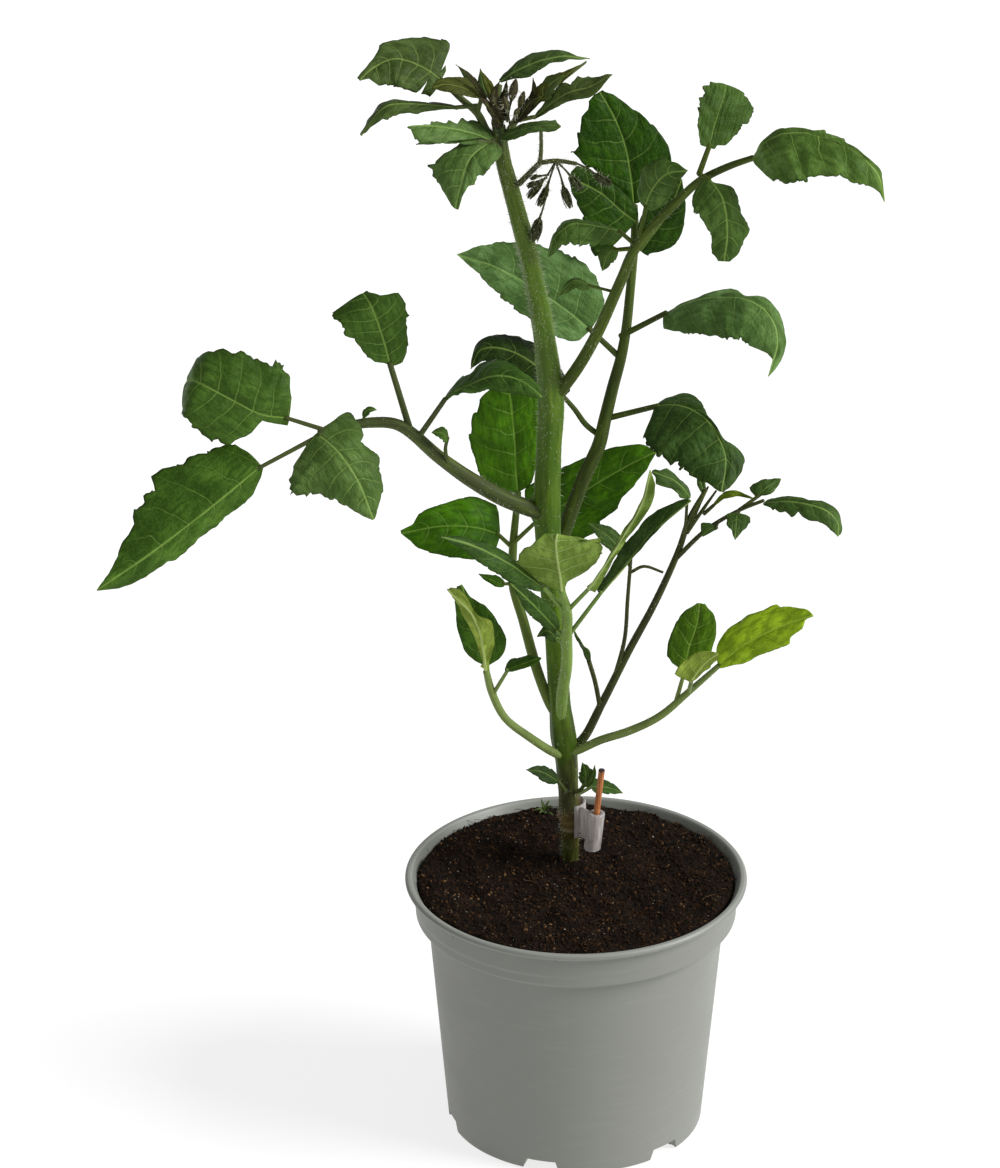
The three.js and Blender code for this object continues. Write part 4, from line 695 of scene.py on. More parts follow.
# Each leaf: its stalks as (route, radii) and its leaflets, all in mm. face is where the upper side
# looks; the pairs are for the left and right half; start is where the leaflet's own stalk begins.
leaves = {
    "leaf_left_upper": {"stalk": "#3f4827", "tint": "#4f7128", "under": "#8fa36a", "stalks": [
        ([[-9, 9, 249], [-27, 3, 259], [-40, -1, 269], [-51, -4, 279], [-66, -8, 294],
          [-76, -10, 296], [-95, -16, 295]], [3.3, 3.2, 2.9, 2.5, 2.2, 2, 1.3]),
        ([[-48, -5, 277], [-49, -7, 284], [-48, -8, 289]], [0.8, 0.7, 0.6])],
        "leaflets": [
        dict(start=[-92, -15.5, 295], rib=[[-116, -24, 285], [-137, -35, 271], [-157, -43, 258],
             [-176, -48, 246]], face=[-0.2, -0.75, 0.62], wide=[13, 23], fold=[-50, 4],
             curl=[10, 14], teeth=4, bite=0.04, lobe=0.2, tint="#4b6f22", outline=[(0, 10, 41),
             (3, 26, 58), (12, 59, 78), (18, 60, 82), (23, 57, 96), (26, 58, 91), (28, 58, 96),
             (35, 69, 102), (42, 62, 109), (43, 61, 108), (45, 59, 83), (53, 61, 91), (55, 64, 77),
             (60, 67, 81), (63, 57, 80), (64, 56, 77), (66, 57, 56), (76, 56, 42), (90, 38, 13),
             (100, 2, 1)]),
        dict(start=[-93, -15.5, 295.5], rib=[[-106, -15, 300], [-116, -16, 302], [-127, -14, 307],
             [-139, -10, 312], [-144, -2, 309]], face=[0.05, -0.9, 0.42], wide=[15, 19],
             curl=[20, 25], teeth=4, bite=0.04, lobe=0.3, outline=[(0, 19, 43), (3, 19, 54),
             (6, 18, 81), (16, 16, 104), (21, 15, 107), (23, 28, 108), (26, 62, 109), (29, 75, 111),
             (31, 83, 98), (35, 104, 97), (37, 111, 97), (42, 105, 96), (48, 119, 94),
             (58, 107, 97), (60, 108, 84), (64, 108, 82), (71, 95, 83), (74, 94, 74), (85, 90, 62),
             (87, 73, 58), (95, 57, 47), (100, 26, 21)]),
        dict(start=[-91, -15, 295], rib=[[-96, -17, 295], [-89, -24, 292], [-81, -31, 283],
             [-75, -34, 268]], face=[-0.1, -0.8, 0.6], wide=[15, 20], fold=[-10, 4], curl=[30, 22],
             teeth=4, bite=0.05, lobe=0.35, tint="#627f3f", outline=[(0, 60, 40), (3, 100, 50),
             (7, 111, 76), (14, 107, 96), (26, 94, 114), (33, 71, 125), (38, 71, 117),
             (41, 74, 100), (50, 83, 92), (53, 84, 77), (57, 70, 72), (66, 67, 57), (78, 51, 41),
             (100, 3, 3)]),
        dict(start=[-62, -7, 292], rib=[[-69, 0, 314], [-72, 1, 326], [-76, 3, 337], [-79, 8, 340]],
             face=[0.1, -0.95, 0.3], wide=[15, 13], curl=[20, 30], teeth=4, bite=0.05, stem=1.3,
             outline=[(0, 5, 37), (5, 4, 49), (9, 35, 57), (19, 54, 67), (47, 74, 84),
             (51, 85, 100), (55, 94, 94), (59, 84, 95), (63, 86, 102), (77, 95, 86), (84, 100, 40),
             (88, 102, 31), (94, 91, 20), (98, 96, 14), (99, 87, 13), (100, 39, 13)]),
        dict(start=[-58, -7, 290], rib=[[-49.7, -12, 305.7], [-45.3, -14, 310.6],
             [-39.8, -17, 314.7], [-32.5, -20, 318.8], [-25.3, -22, 319.7], [-18.7, -25, 318.3],
             [-13.7, -28, 314.5]], face=[0, -0.5, 0.85], wide=[10, 12], fold=[-15, -15],
             curl=[15, 20], teeth=4, bite=0.05, stem=1.1, tint="#446624", outline=[(0, 15, 2),
             (3, 58, 5), (6, 77, 6), (9, 68, 8), (10, 83, 8), (11, 109, 10), (17, 87, 21),
             (20, 80, 16), (23, 74, 20), (27, 92, 27), (30, 119, 32), (37, 125, 39), (46, 122, 39),
             (60, 92, 52), (74, 54, 51), (83, 37, 44), (92, 31, 30), (100, 6, 13)]),
        dict(rib=[[-48, -8, 288], [-50, -9, 291], [-54, -10, 292]], face=[0, -0.6, 0.8],
             wide=[3, 3], teeth=2, bite=0.25),
        dict(start=[-80, -11, 295], rib=[[-79, -12, 299], [-77, -12, 302], [-74, -12, 302]],
             face=[0, -0.7, 0.7], wide=[1.6, 1.6], teeth=1, bite=0.3, stem=0.6)]},
    "leaf_right_upper": {"stalk": "#3e4e14", "tint": "#52702f", "hairs": 1.6e5, "under": "#8fa36a",
                         "stalks": [
        ([[-9, 4, 299], [-0.3, -1.6, 314.6], [6.8, -9.1, 331.9], [12.1, -14.8, 347.5],
          [15.6, -18.5, 358.2], [19, -22.2, 368.8], [26.4, -26.7, 381.6], [34.1, -30.3, 391.6],
          [42.4, -34.7, 401.9], [52.2, -37.8, 408.6], [61, -40, 412.9]],
         [2.4, 2.35, 2.2, 2.1, 2, 1.9, 1.75, 1.6, 1.45, 1.3, 1.1])],
        "leaflets": [
        dict(rib=[[60.6, -41.5, 413.6], [64.3, -44, 419.9], [70.8, -47, 424.6], [79.8, -50, 426.5],
             [88.2, -53, 425.1], [95.2, -55.5, 422.7], [100.8, -57.5, 418.6], [104.8, -59, 413.1],
             [107.1, -60, 404.4]], face=[0.05, -0.6, 0.8], wide=[10, 16], fold=[-25, -8],
             curl=[20, 25], teeth=4, bite=0.05, crimp=1.5, tint="#608038", outline=[(0, 10, 30),
             (2, 20, 59), (6, 40, 102), (11, 50, 104), (22, 60, 123), (28, 52, 117), (41, 33, 116),
             (42, 34, 115), (45, 60, 112), (46, 52, 110), (48, 20, 106), (52, 30, 92), (57, 69, 82),
             (60, 34, 79), (61, 32, 78), (80, 12, 56), (83, 18, 50), (84, 20, 39), (85, 24, 45),
             (86, 20, 33), (90, 2, 21), (94, 1, 9), (100, 1, 2)]),
        dict(start=[42, -36, 405], rib=[[45.5, -34, 414.3], [47.3, -30, 420.4], [49.5, -26, 426.4],
             [51.4, -20, 430.2], [51.8, -17, 431.6]], face=[0.1, -0.95, 0.2], wide=[9, 13],
             curl=[20, 20], teeth=3, bite=0.05, stem=1.1, crimp=1.5, outline=[(0, 39, 17),
             (7, 47, 22), (9, 50, 46), (13, 55, 56), (29, 76, 69), (41, 78, 76), (44, 101, 76),
             (45, 78, 77), (47, 92, 77), (48, 82, 91), (54, 91, 97), (58, 97, 96), (62, 81, 95),
             (71, 85, 96), (77, 101, 98), (80, 98, 88), (82, 84, 81), (83, 94, 76), (84, 71, 74),
             (93, 71, 59), (96, 46, 54), (100, 20, 24)]),
        dict(start=[42, -36, 405], rib=[[45, -41, 406], [50, -48, 401], [52, -51, 389],
             [51, -52, 378]], face=[0.15, -0.8, 0.6], wide=[10, 10], fold=[2, -10], curl=[28, 20],
             teeth=3, bite=0.05, crimp=1.5, outline=[(0, 5, 42), (1, 4, 42), (3, 3, 71), (6, 2, 93),
             (10, 3, 110), (13, 17, 121), (14, 20, 107), (16, 26, 130), (17, 30, 111),
             (25, 50, 122), (32, 58, 120), (33, 59, 99), (36, 60, 110), (37, 60, 123),
             (38, 61, 100), (48, 68, 101), (49, 69, 86), (62, 84, 81), (64, 87, 69), (66, 90, 67),
             (84, 60, 59), (91, 51, 51), (100, 23, 23)]),
        dict(start=[21, -23, 371], rib=[[15, -22, 377], [7, -24, 380], [-2, -26, 382],
             [-9, -28, 378], [-12, -28, 369]], face=[0.1, -0.5, 0.85], wide=[9, 8], fold=[-15, -35],
             curl=[20, 20], teeth=4, bite=0.14, peak=0.42, crimp=1.5),
        dict(start=[21, -24, 373], rib=[[23, -27, 388], [26, -30, 397], [31, -33, 404],
             [38, -35, 406]], face=[0, -0.8, 0.6], wide=[8, 8], curl=[35, 30], teeth=3, bite=0.16,
             peak=0.45, crimp=1.5),
        dict(start=[21, -23, 371], rib=[[13, -23, 371], [10, -23, 368], [8, -23, 362]],
             face=[0, -0.8, 0.6], wide=[3.5, 3.5], teeth=2, bite=0.2),
        dict(start=[12, -14, 350], rib=[[4, -16, 353], [-2, -18, 356], [-8, -18, 350]],
             face=[0, -0.5, 0.85], wide=[3.5, 3], fold=[-20, -20], teeth=2, stem=0.6)]},
    "leaf_back_right": {"stalk": "#39471a", "tint": "#48692f", "hairs": 1.2e5, "under": "#8fa36a",
                        "stalks": [
        ([[-10, 11, 226], [2.1, 21, 258.4], [8, 24.8, 271.1], [10.2, 28.4, 279.7],
          [13.2, 33, 291.1], [16.2, 36.6, 301.7], [18, 39.5, 311.4], [19.4, 43.4, 324.3],
          [20.5, 47.2, 335.6], [21.2, 50.5, 345.1], [20.9, 54, 355.3]],
         [2.8, 2.8, 2.7, 2.5, 2.3, 2.1, 1.9, 1.8, 1.7, 1.6, 1.4]),
        ([[8, 27, 274], [3, 28, 278], [-1, 28, 284], [-5, 28, 289]], [1.1, 1.1, 1, 0.9])],
        "leaflets": [
        dict(rib=[[20.9, 54.5, 355.9], [19.7, 57.5, 365.9], [17.4, 60.5, 377.1], [13, 63, 388],
             [8.1, 64.5, 396.6]], face=[0.1, -0.9, 0.4], wide=[20, 19], curl=[15, 15], teeth=3,
             bite=0.01, tint="#2c5200", outline=[(0, 5, 9), (5, 16, 35), (21, 46, 83), (41, 86, 84),
             (55, 101, 65), (60, 101, 59), (62, 85, 57), (74, 75, 40), (88, 52, 23), (91, 37, 20),
             (99, 26, 6), (100, 12, 6)]),
        dict(rib=[[21.5, 49, 351], [15.6, 50, 355.4], [8.9, 51, 361.4], [-3.4, 51, 368.2]],
             face=[0, -0.9, 0.4], wide=[12, 12], teeth=3, bite=0.01, curl=[20, 20], tint="#2f5207",
             outline=[(0, 15, 11), (4, 124, 27), (8, 165, 36), (21, 147, 46), (35, 115, 46),
             (64, 84, 45), (86, 43, 47), (97, 13, 41), (99, 7, 18), (100, 6, 18)]),
        dict(rib=[[23.4, 46, 340.2], [27.5, 46, 346.6], [32.9, 46, 354.6], [38.3, 45, 369.4]],
             face=[0, -0.95, 0.3], wide=[12, 8], teeth=3, bite=0.01, tint="#2f5207",
             outline=[(0, 19, 40), (4, 20, 39), (10, 30, 78), (17, 45, 100), (29, 64, 113),
             (42, 72, 105), (66, 71, 68), (82, 58, 40), (96, 37, 10), (100, 17, 1)]),
        dict(start=[16, 39, 309], rib=[[31.9, 34, 320.3], [39.2, 30, 325.7], [49.3, 24, 331.5],
             [61.2, 16, 334.2], [69.4, 9, 331.6], [73, 4, 323.8], [69.8, 0, 309.9]],
             face=[0, -0.55, 0.85], wide=[9, 16], fold=[-22, -6], tint="#6a8d4c", curl=[20, 20],
             teeth=4, bite=0.05, stem=1.2, outline=[(0, 8, 45), (15, 60, 88), (31, 93, 107),
             (37, 89, 108), (49, 40, 112), (52, 83, 110), (55, 100, 105), (64, 50, 94),
             (83, 48, 74), (86, 49, 65), (88, 46, 22), (91, 42, 3), (100, 1, 1)]),
        dict(start=[11, 29, 280], rib=[[28.8, 26, 286.5], [37.9, 22, 288.3], [45.9, 15, 287.8],
             [51, 8, 283.7], [54.6, 1, 276.7], [53, -8, 267.1]], face=[0.15, -0.7, 0.7],
             wide=[11, 19], fold=[-6, -5], tint="#3c5824", curl=[20, 20], teeth=4, bite=0.05,
             lobe=0.7, stem=1.2, outline=[(0, 8, 15), (2, 21, 64), (3, 28, 85), (8, 55, 76),
             (16, 82, 98), (21, 83, 106), (26, 72, 114), (40, 21, 126), (49, 10, 125),
             (61, 16, 110), (64, 21, 99), (71, 64, 97), (75, 74, 97), (87, 47, 84), (88, 44, 66),
             (89, 42, 76), (91, 37, 54), (93, 32, 49), (94, 30, 29), (95, 27, 33), (100, 6, 6)]),
        dict(start=[15, 37, 302], rib=[[5, 38, 312], [-7, 41, 321], [-29, 47, 333], [-45, 51, 337]],
             face=[0.1, -0.95, 0.35], wide=[12, 18], tint="#719758", curl=[15, 25], teeth=4,
             bite=0.06, peak=0.36, foot=0.4, stem=1.2),
        dict(rib=[[-5, 28, 289], [-11, 32, 296], [-25, 37, 304], [-36, 38, 304], [-40, 36, 297]],
             face=[0, -0.5, 0.85], wide=[12, 12], fold=[-30, -10], curl=[20, 30], teeth=3,
             bite=0.05, peak=0.42, foot=0.4, tint="#2a4014")]},
    "leaf_back_left": {"stalk": "#56682c", "tint": "#457308", "under": "#7f9455", "stalks": [
        ([[-6, 12, 162], [-10, 13, 169], [-15, 16, 182], [-20, 22, 199], [-24, 28, 212],
          [-24, 36, 223], [-22, 43, 243]], [1.8, 2, 2, 1.9, 1.8, 1.6, 1.2])],
        "leaflets": [
        dict(rib=[[-22.1, 42.5, 242.2], [-22.9, 46, 251], [-23.4, 49, 262.1], [-24.8, 52, 277.2],
             [-25.9, 53, 283.4]], face=[0.1, -0.95, 0.3], wide=[15, 15], curl=[15, 15], teeth=3,
             bite=0.015, tint="#52850a", outline=[(0, 3, 1), (1, 2, 1), (2, 10, 1), (3, 26, 6),
             (6, 45, 27), (9, 64, 38), (15, 92, 46), (42, 113, 59), (55, 118, 62), (58, 110, 63),
             (69, 106, 65), (83, 82, 69), (94, 72, 52), (100, 32, 24)]),
        dict(start=[-24, 36, 223], rib=[[-29, 38, 228], [-38, 35, 232], [-51, 32, 234],
             [-66, 28, 233]], face=[-0.1, -0.75, 0.65], wide=[15, 10], curl=[25, 25], teeth=3,
             bite=0.01, tint="#487c04", outline=[(0, 15, 15), (2, 49, 86), (5, 65, 114),
             (15, 80, 123), (28, 85, 126), (56, 81, 91), (78, 60, 62), (86, 45, 27), (100, 1, 12)]),
        dict(start=[-24, 36, 225], rib=[[-16.1, 36, 233.6], [-5.6, 36, 240.7], [8.6, 35, 251.1],
             [19.8, 34.5, 258.4], [29.5, 34, 264]], face=[-0.1, -0.9, 0.45], wide=[17, 12],
             curl=[20, 15], teeth=3, bite=0.01, tint="#4c7d0c", outline=[(0, 15, 15), (3, 58, 73),
             (6, 78, 98), (7, 78, 103), (20, 75, 122), (32, 72, 129), (38, 71, 125), (40, 69, 107),
             (56, 62, 102), (63, 60, 79), (75, 52, 64), (89, 34, 36), (95, 24, 18), (100, 1, 3)]),
        dict(start=[-24, 28, 212], rib=[[-27, 27, 212], [-31, 26, 214], [-37, 26, 217]],
             face=[0, -0.7, 0.7], wide=[2, 2.5], teeth=1, bite=0.15, stem=0.7)]},
    "leaf_front": {"stalk": "#6f8a42", "tint": "#3f5e24", "under": "#8faa4e", "stalks": [
        ([[-6, 11, 163], [-5.5, 5, 177], [-4, -1, 192], [-4, -6, 206], [-4, -14, 221],
          [-6, -22, 233]], [2, 2.3, 2.2, 2.1, 1.8, 1.3])],
        "leaflets": [
        dict(rib=[[-6, -21.5, 232.6], [-6.8, -25, 241.3], [-8, -30, 251.4], [-8.4, -33, 258.9],
             [-8, -32, 261.3]], face=[0, 0.85, 0.5], wide=[17, 18], fold=[14, 14], curl=[20, 20],
             teeth=3, bite=0.03, outline=[(0, 8, 5), (6, 8, 19), (12, 12, 43), (15, 14, 64),
             (20, 26, 79), (28, 60, 100), (39, 81, 118), (55, 99, 88), (65, 103, 79), (93, 97, 34),
             (98, 97, 24), (100, 44, 3)]),
        dict(start=[-4, -14, 221], rib=[[4, -22, 234], [10, -26, 246], [17, -29, 260],
             [23, -31, 273], [26, -32, 287]], face=[0.7, 0.5, 0.5], wide=[5, 4], fold=[30, 20],
             curl=[30, 30], teeth=3, bite=0.02, outline=[(0, 51, 36), (9, 50, 3), (14, 47, 1),
             (29, 28, 27), (47, 23, 31), (54, 41, 37), (62, 50, 27), (72, 59, 32), (85, 64, 14),
             (91, 58, 12), (100, 1, 8)]),
        dict(start=[-4, -6, 206], rib=[[8, -14, 228], [19, -17, 244], [30, -20, 259],
             [41, -22, 270]], face=[-0.4, -0.6, 0.7], wide=[6, 2.5], fold=[10, 10], curl=[20, 20],
             teeth=3, bite=0.02, outline=[(0, 47, 2), (5, 48, 2), (31, 94, 2), (35, 94, 2),
             (46, 104, 34), (53, 104, 43), (59, 103, 63), (66, 102, 56), (74, 91, 2), (91, 57, 2),
             (97, 34, 2), (100, 9, 2)]),
        dict(start=[-4, -13, 219], rib=[[-12, -22, 234], [-25, -30, 248], [-38, -34, 257],
             [-50, -38, 263]], face=[0.1, -0.5, 0.85], wide=[6, 7], fold=[-30, -20], curl=[25, 20],
             teeth=3, bite=0.08, peak=0.42),
        dict(start=[-4, -6, 205], rib=[[-7, -7, 209], [-14, -10, 219], [-25, -13, 232]],
             face=[0.3, -0.7, 0.6], wide=[4, 5], fold=[-10, 10], teeth=2, bite=0.1, peak=0.4),
        dict(start=[-4, -4, 202], rib=[[-7, -2, 203], [-11, 0, 206], [-15, 1, 203]],
             face=[0, -0.7, 0.7], wide=[3, 3], teeth=1, bite=0.1)]},
    "leaf_lower_left": {"stalk": "#718347", "tint": "#3f650f", "under": "#a3b74e", "stalks": [
        ([[-5, 12, 148], [-8, 9, 150], [-18, 5, 159], [-27, -1, 170], [-32, -7, 184],
          [-34, -12, 195]], [1.6, 1.7, 1.6, 1.5, 1.5, 1.3])],
        "leaflets": [
        dict(rib=[[-34, -12, 195], [-37, -9, 207], [-40, -7, 218], [-43, -6, 228]],
             face=[0.15, -0.9, 0.4], wide=[7.5, 10], curl=[20, 20], teeth=2, bite=0.01,
             outline=[(0, 5, 14), (6, 4, 13), (7, 4, 39), (9, 14, 65), (13, 41, 85), (20, 68, 100),
             (29, 84, 104), (54, 89, 84), (68, 77, 59), (84, 62, 14), (100, 28, 1)]),
        dict(rib=[[-34, -12.6, 196], [-36, -17, 213], [-40, -20, 224], [-48, -24, 235]],
             face=[0.3, 0.8, 0.5], wide=[5, 4], fold=[30, 30], teeth=2, bite=0.02,
             outline=[(0, 24, 73), (7, 28, 33), (9, 29, 32), (16, 54, 50), (29, 91, 106),
             (35, 98, 129), (42, 105, 143), (50, 106, 152), (57, 50, 154), (60, 37, 152),
             (67, 30, 143), (74, 42, 136), (85, 72, 82), (92, 74, 40), (94, 75, 36),
             (100, 24, 16)]),
        dict(start=[-31.5, -7, 183], rib=[[-27, -12, 195.3], [-22.9, -12.7, 197.3],
             [-18.1, -13.3, 199.7], [-13.6, -14, 201.7]], face=[0, -0.4, 0.9], wide=[4, 4],
             fold=[0, -5], teeth=2, bite=0.05, stem=0.8, outline=[(0, 40, 13), (6, 130, 20),
             (15, 149, 33), (47, 119, 49), (73, 78, 53), (85, 42, 49), (100, 1, 11)])]},
    # painted light: this leaf's tint is far brighter than its own green, making up for the sun it
    # faces away from
    "leaf_lower_right": {"stalk": "#718347", "tint": "#b8dd2c", "under": "#9db04a", "stalks": [
        ([[-3, 12, 149], [0, 11, 150], [9, 8, 156], [20, 6, 161], [31, 4, 168], [42, 1, 180],
          [53, -3, 193]], [1.6, 1.7, 1.6, 1.6, 1.5, 1.3, 1])],
        "leaflets": [
        dict(rib=[[53, -3, 193], [62, -8, 204], [75, -13, 214], [87, -18, 221]],
             face=[-0.2, -0.7, 0.7], wide=[10, 8], curl=[25, 25], teeth=3, bite=0.02,
             outline=[(0, 37, 18), (4, 68, 27), (6, 76, 32), (12, 88, 47), (23, 98, 77),
             (28, 102, 83), (39, 105, 85), (55, 90, 95), (67, 97, 98), (70, 76, 98), (71, 76, 98),
             (74, 76, 92), (75, 75, 73), (88, 45, 44), (92, 39, 7), (97, 26, 1), (100, 5, 1)]),
        dict(start=[37, 2.5, 174], rib=[[40, 4, 185], [42, 7, 195], [45, 10, 204], [46, 11, 212]],
             face=[0, -0.95, 0.3], wide=[9, 8.5], curl=[20, 20], teeth=2, bite=0.01, tint="#54790e",
             outline=[(0, 5, 48), (8, 3, 49), (9, 8, 51), (11, 41, 59), (14, 62, 71), (20, 84, 87),
             (35, 92, 100), (60, 88, 96), (76, 78, 83), (86, 59, 67), (89, 49, 53), (100, 12, 24)]),
        dict(start=[42, 1, 180], rib=[[42, -13, 191.2], [44.5, -13, 195.4], [47.8, -13, 199.5],
             [52.2, -13, 202.9]], face=[0.1, 0.8, 0.6], wide=[8, 8], fold=[15, 15], curl=[25, 25],
             teeth=2, bite=0.05, outline=[(0, 6, 99), (12, 26, 103), (30, 31, 110), (40, 35, 102),
             (47, 42, 89), (54, 48, 88), (69, 42, 81), (89, 30, 37), (94, 21, 28), (97, 17, 14),
             (100, 1, 1)])]},
    "side_shoot": {"stalk": "#363a1f", "tint": "#4d6a30", "under": "#8fa352", "stalks": [
        ([[41.5, 21.5, 236.8], [45.1, 21.8, 246.6], [48.8, 22, 255.1]], [0.8, 0.7, 0.4]),
        ([[41.1, 21.5, 236.3], [47.4, 21.2, 246.8], [51.8, 21, 253.9]], [0.8, 0.7, 0.4]),
        ([[-3, 15, 148], [2.5, 15, 153], [9.7, 17, 167], [19.6, 19, 188], [29.4, 20, 208],
          [38, 21, 229], [42, 22, 242], [48, 22, 254]], [2, 1.8, 1.6, 1.5, 1.4, 1.25, 1.05, 0.85]),
        ([[37, 20.5, 226], [48, 16, 240], [60, 10, 251], [69, 8, 256]], [0.95, 0.85, 0.75, 0.7]),
        ([[39, 21, 231], [40.5, 21, 240], [41, 21, 250]], [0.65, 0.6, 0.6]),
        ([[14, 18, 176], [18, 17, 194], [19, 16, 211], [20, 14, 229]], [0.9, 0.8, 0.75, 0.7]),
        ([[20, 15, 223], [25, 14, 226], [32, 13, 224]], [0.7, 0.6, 0.5]),
        ([[9, 17, 165], [7, 13, 178], [4.5, 9, 189]], [0.9, 0.9, 0.9])],
        "leaflets": [
        dict(rib=[[68.8, 8.3, 254.7], [73.8, 4, 257.4], [78.5, 1, 258.8], [84, -2, 259.4],
             [89.4, -4, 258.7], [93.9, -5, 256.3], [96.5, -6, 252.7], [96.2, -7, 248.2]],
             face=[0, -0.5, 0.85], wide=[5, 6.5], fold=[-12, -8], teeth=3, bite=0.03,
             outline=[(0, 15, 6), (2, 48, 15), (5, 63, 20), (9, 64, 30), (12, 91, 38), (15, 87, 57),
             (17, 84, 44), (26, 71, 77), (28, 66, 59), (33, 62, 76), (37, 56, 98), (39, 56, 97),
             (42, 58, 81), (43, 56, 59), (44, 59, 56), (50, 64, 86), (56, 68, 95), (60, 80, 97),
             (65, 84, 82), (77, 94, 77), (81, 86, 72), (88, 53, 63), (91, 52, 62), (94, 60, 45),
             (96, 58, 32), (98, 46, 15), (100, 1, 1)]),
        dict(start=[60, 10, 251], rib=[[66.7, 12, 255.3], [69.7, 14, 257.6], [72.8, 16, 258.7],
             [75.8, 18, 260.1]], face=[0, -0.5, 0.85], wide=[4, 4], teeth=2, bite=0.03, stem=0.8,
             outline=[(0, 15, 6), (4, 95, 14), (8, 127, 19), (15, 129, 23), (20, 129, 46),
             (23, 129, 53), (37, 107, 74), (49, 105, 70), (85, 50, 30), (100, 8, 1)]),
        dict(start=[60, 10, 251], rib=[[59.2, 7, 251.4], [59.1, 4, 249.6], [58.7, 1, 247.3],
             [58.3, -2, 244.6]], face=[0.1, -0.8, 0.6], wide=[4.5, 4.5], teeth=2, bite=0.03,
             stem=0.8, outline=[(0, 15, 15), (5, 84, 73), (10, 113, 97), (24, 116, 86),
             (48, 86, 87), (69, 49, 34), (85, 25, 23), (100, 1, 1)]),
        dict(start=[52, 13.5, 244], rib=[[52.4, 12, 242.9], [50.1, 11, 243], [48.2, 10, 242.2],
             [46.4, 9, 241]], face=[0, -0.8, 0.6], wide=[3, 3], teeth=1, bite=0.03, stem=0.8,
             outline=[(0, 6, 13), (6, 21, 44), (22, 32, 49), (24, 33, 57), (27, 33, 81),
             (39, 40, 96), (59, 38, 142), (60, 38, 134), (64, 36, 128), (69, 35, 106), (85, 27, 55),
             (91, 22, 43), (100, 17, 6)]),
        dict(start=[47.4, 21.5, 244.2], rib=[[50.3, 21, 247.3], [54, 19.7, 251.7],
             [59.1, 18.3, 253.9], [66.2, 17, 252.1]], face=[0, -0.5, 0.85], wide=[1.5, 1.5],
             teeth=2, bite=0.2, stem=0.8, tint="#7f961f"),
        dict(rib=[[42.1, 21, 251], [39.4, 20, 255.2], [35.2, 19, 259.4], [30.7, 18, 261.9],
             [27.7, 18, 263.1]], face=[0, -0.6, 0.8], wide=[5, 4], fold=[-15, -15], teeth=3,
             bite=0.03, outline=[(0, 11, 74), (9, 43, 98), (10, 46, 93), (13, 57, 101),
             (15, 64, 97), (19, 63, 89), (29, 55, 88), (35, 56, 83), (44, 57, 88), (45, 57, 83),
             (58, 71, 96), (59, 72, 103), (67, 74, 120), (83, 76, 58), (89, 30, 53), (95, 18, 45),
             (100, 7, 20)]),
        dict(rib=[[47.5, 22, 252], [46, 23, 257], [45, 23, 262]], face=[0, -0.9, 0.4],
             wide=[1.6, 1.6], teeth=1, bite=0.2),
        dict(start=[20, 14.6, 225], rib=[[18, 14, 231], [12, 14, 238], [4, 14, 244]],
             face=[0, -0.8, 0.6], wide=[4, 4], teeth=2, bite=0.08, stem=0.7),
        dict(rib=[[4.6, 9.4, 188], [3.4, 8, 193], [0.6, 5, 200], [-1, 2, 205]],
             face=[-0.6, -0.6, 0.4], wide=[2, 2], teeth=1, bite=0.08)]},
    "apex_leaf_left": {"stalk": "#4f5a33", "tint": "#4e622f", "under": "#7f8f5a", "stalks": [
        ([[-27, -4, 402], [-33, -3, 407], [-37, -3, 415], [-43, -1, 420], [-50, 2, 426]],
         [1.5, 1.6, 1.4, 1.2, 1])],
        "leaflets": [
        dict(rib=[[-50, 2, 426], [-60, 3, 432], [-67, 2, 434], [-74, -1, 432], [-79, -6, 429]],
             face=[0, -0.65, 0.75], wide=[12, 11], curl=[25, 20], teeth=4, bite=0.03, crimp=1.4,
             outline=[(0, 74, 42), (1, 74, 42), (2, 74, 112), (3, 74, 42), (4, 74, 38), (7, 74, 8),
             (8, 78, 144), (9, 81, 145), (10, 19, 145), (12, 26, 143), (13, 63, 142), (14, 90, 141),
             (30, 98, 115), (38, 97, 93), (48, 94, 74), (60, 92, 71), (66, 86, 43), (73, 75, 26),
             (84, 63, 16), (90, 51, 17), (91, 17, 17), (100, 1, 14)]),
        dict(start=[-37, -3, 418], rib=[[-44, -5, 418], [-56, -9, 421], [-70, -12, 421],
             [-79, -14, 411]], face=[0, -0.4, 0.9], wide=[5, 3], fold=[-30, -30], teeth=3,
             bite=0.05, outline=[(0, 8, 385), (15, 29, 384), (17, 34, 361), (20, 42, 274),
             (24, 49, 190), (33, 62, 90), (34, 64, 124), (36, 71, 244), (38, 80, 318),
             (39, 80, 300), (40, 77, 311), (43, 69, 258), (44, 69, 266), (45, 69, 248),
             (47, 69, 268), (48, 70, 250), (53, 74, 318), (54, 77, 337), (55, 78, 385),
             (56, 81, 369), (57, 85, 385), (71, 90, 385), (74, 60, 385), (83, 41, 385),
             (84, 37, 369), (86, 31, 385), (88, 27, 358), (89, 24, 298), (90, 23, 189),
             (91, 23, 129), (92, 22, 119), (93, 22, 160), (95, 21, 145), (96, 16, 187),
             (98, 7, 181), (99, 2, 229), (100, 1, 103)]),
        dict(start=[-37, -3, 415], rib=[[-34.6, -5, 421.5], [-38.9, -6.5, 424.8], [-44, -8, 427.3],
             [-48.6, -9.5, 428.7], [-53.3, -11, 428.1]], face=[0, -0.6, 0.8], wide=[4, 4], teeth=2,
             bite=0.05, tint="#54591f", under="#4a3a28", outline=[(0, 9, 22), (3, 16, 14),
             (12, 36, 49), (17, 48, 75), (25, 62, 132), (41, 82, 116), (54, 88, 107), (62, 87, 94),
             (77, 71, 67), (85, 59, 66), (100, 13, 8)])]},
    "apex_leaf_front": {"stalk": "#4f5a33", "tint": "#678547", "under": "#7f8f5a", "stalks": [
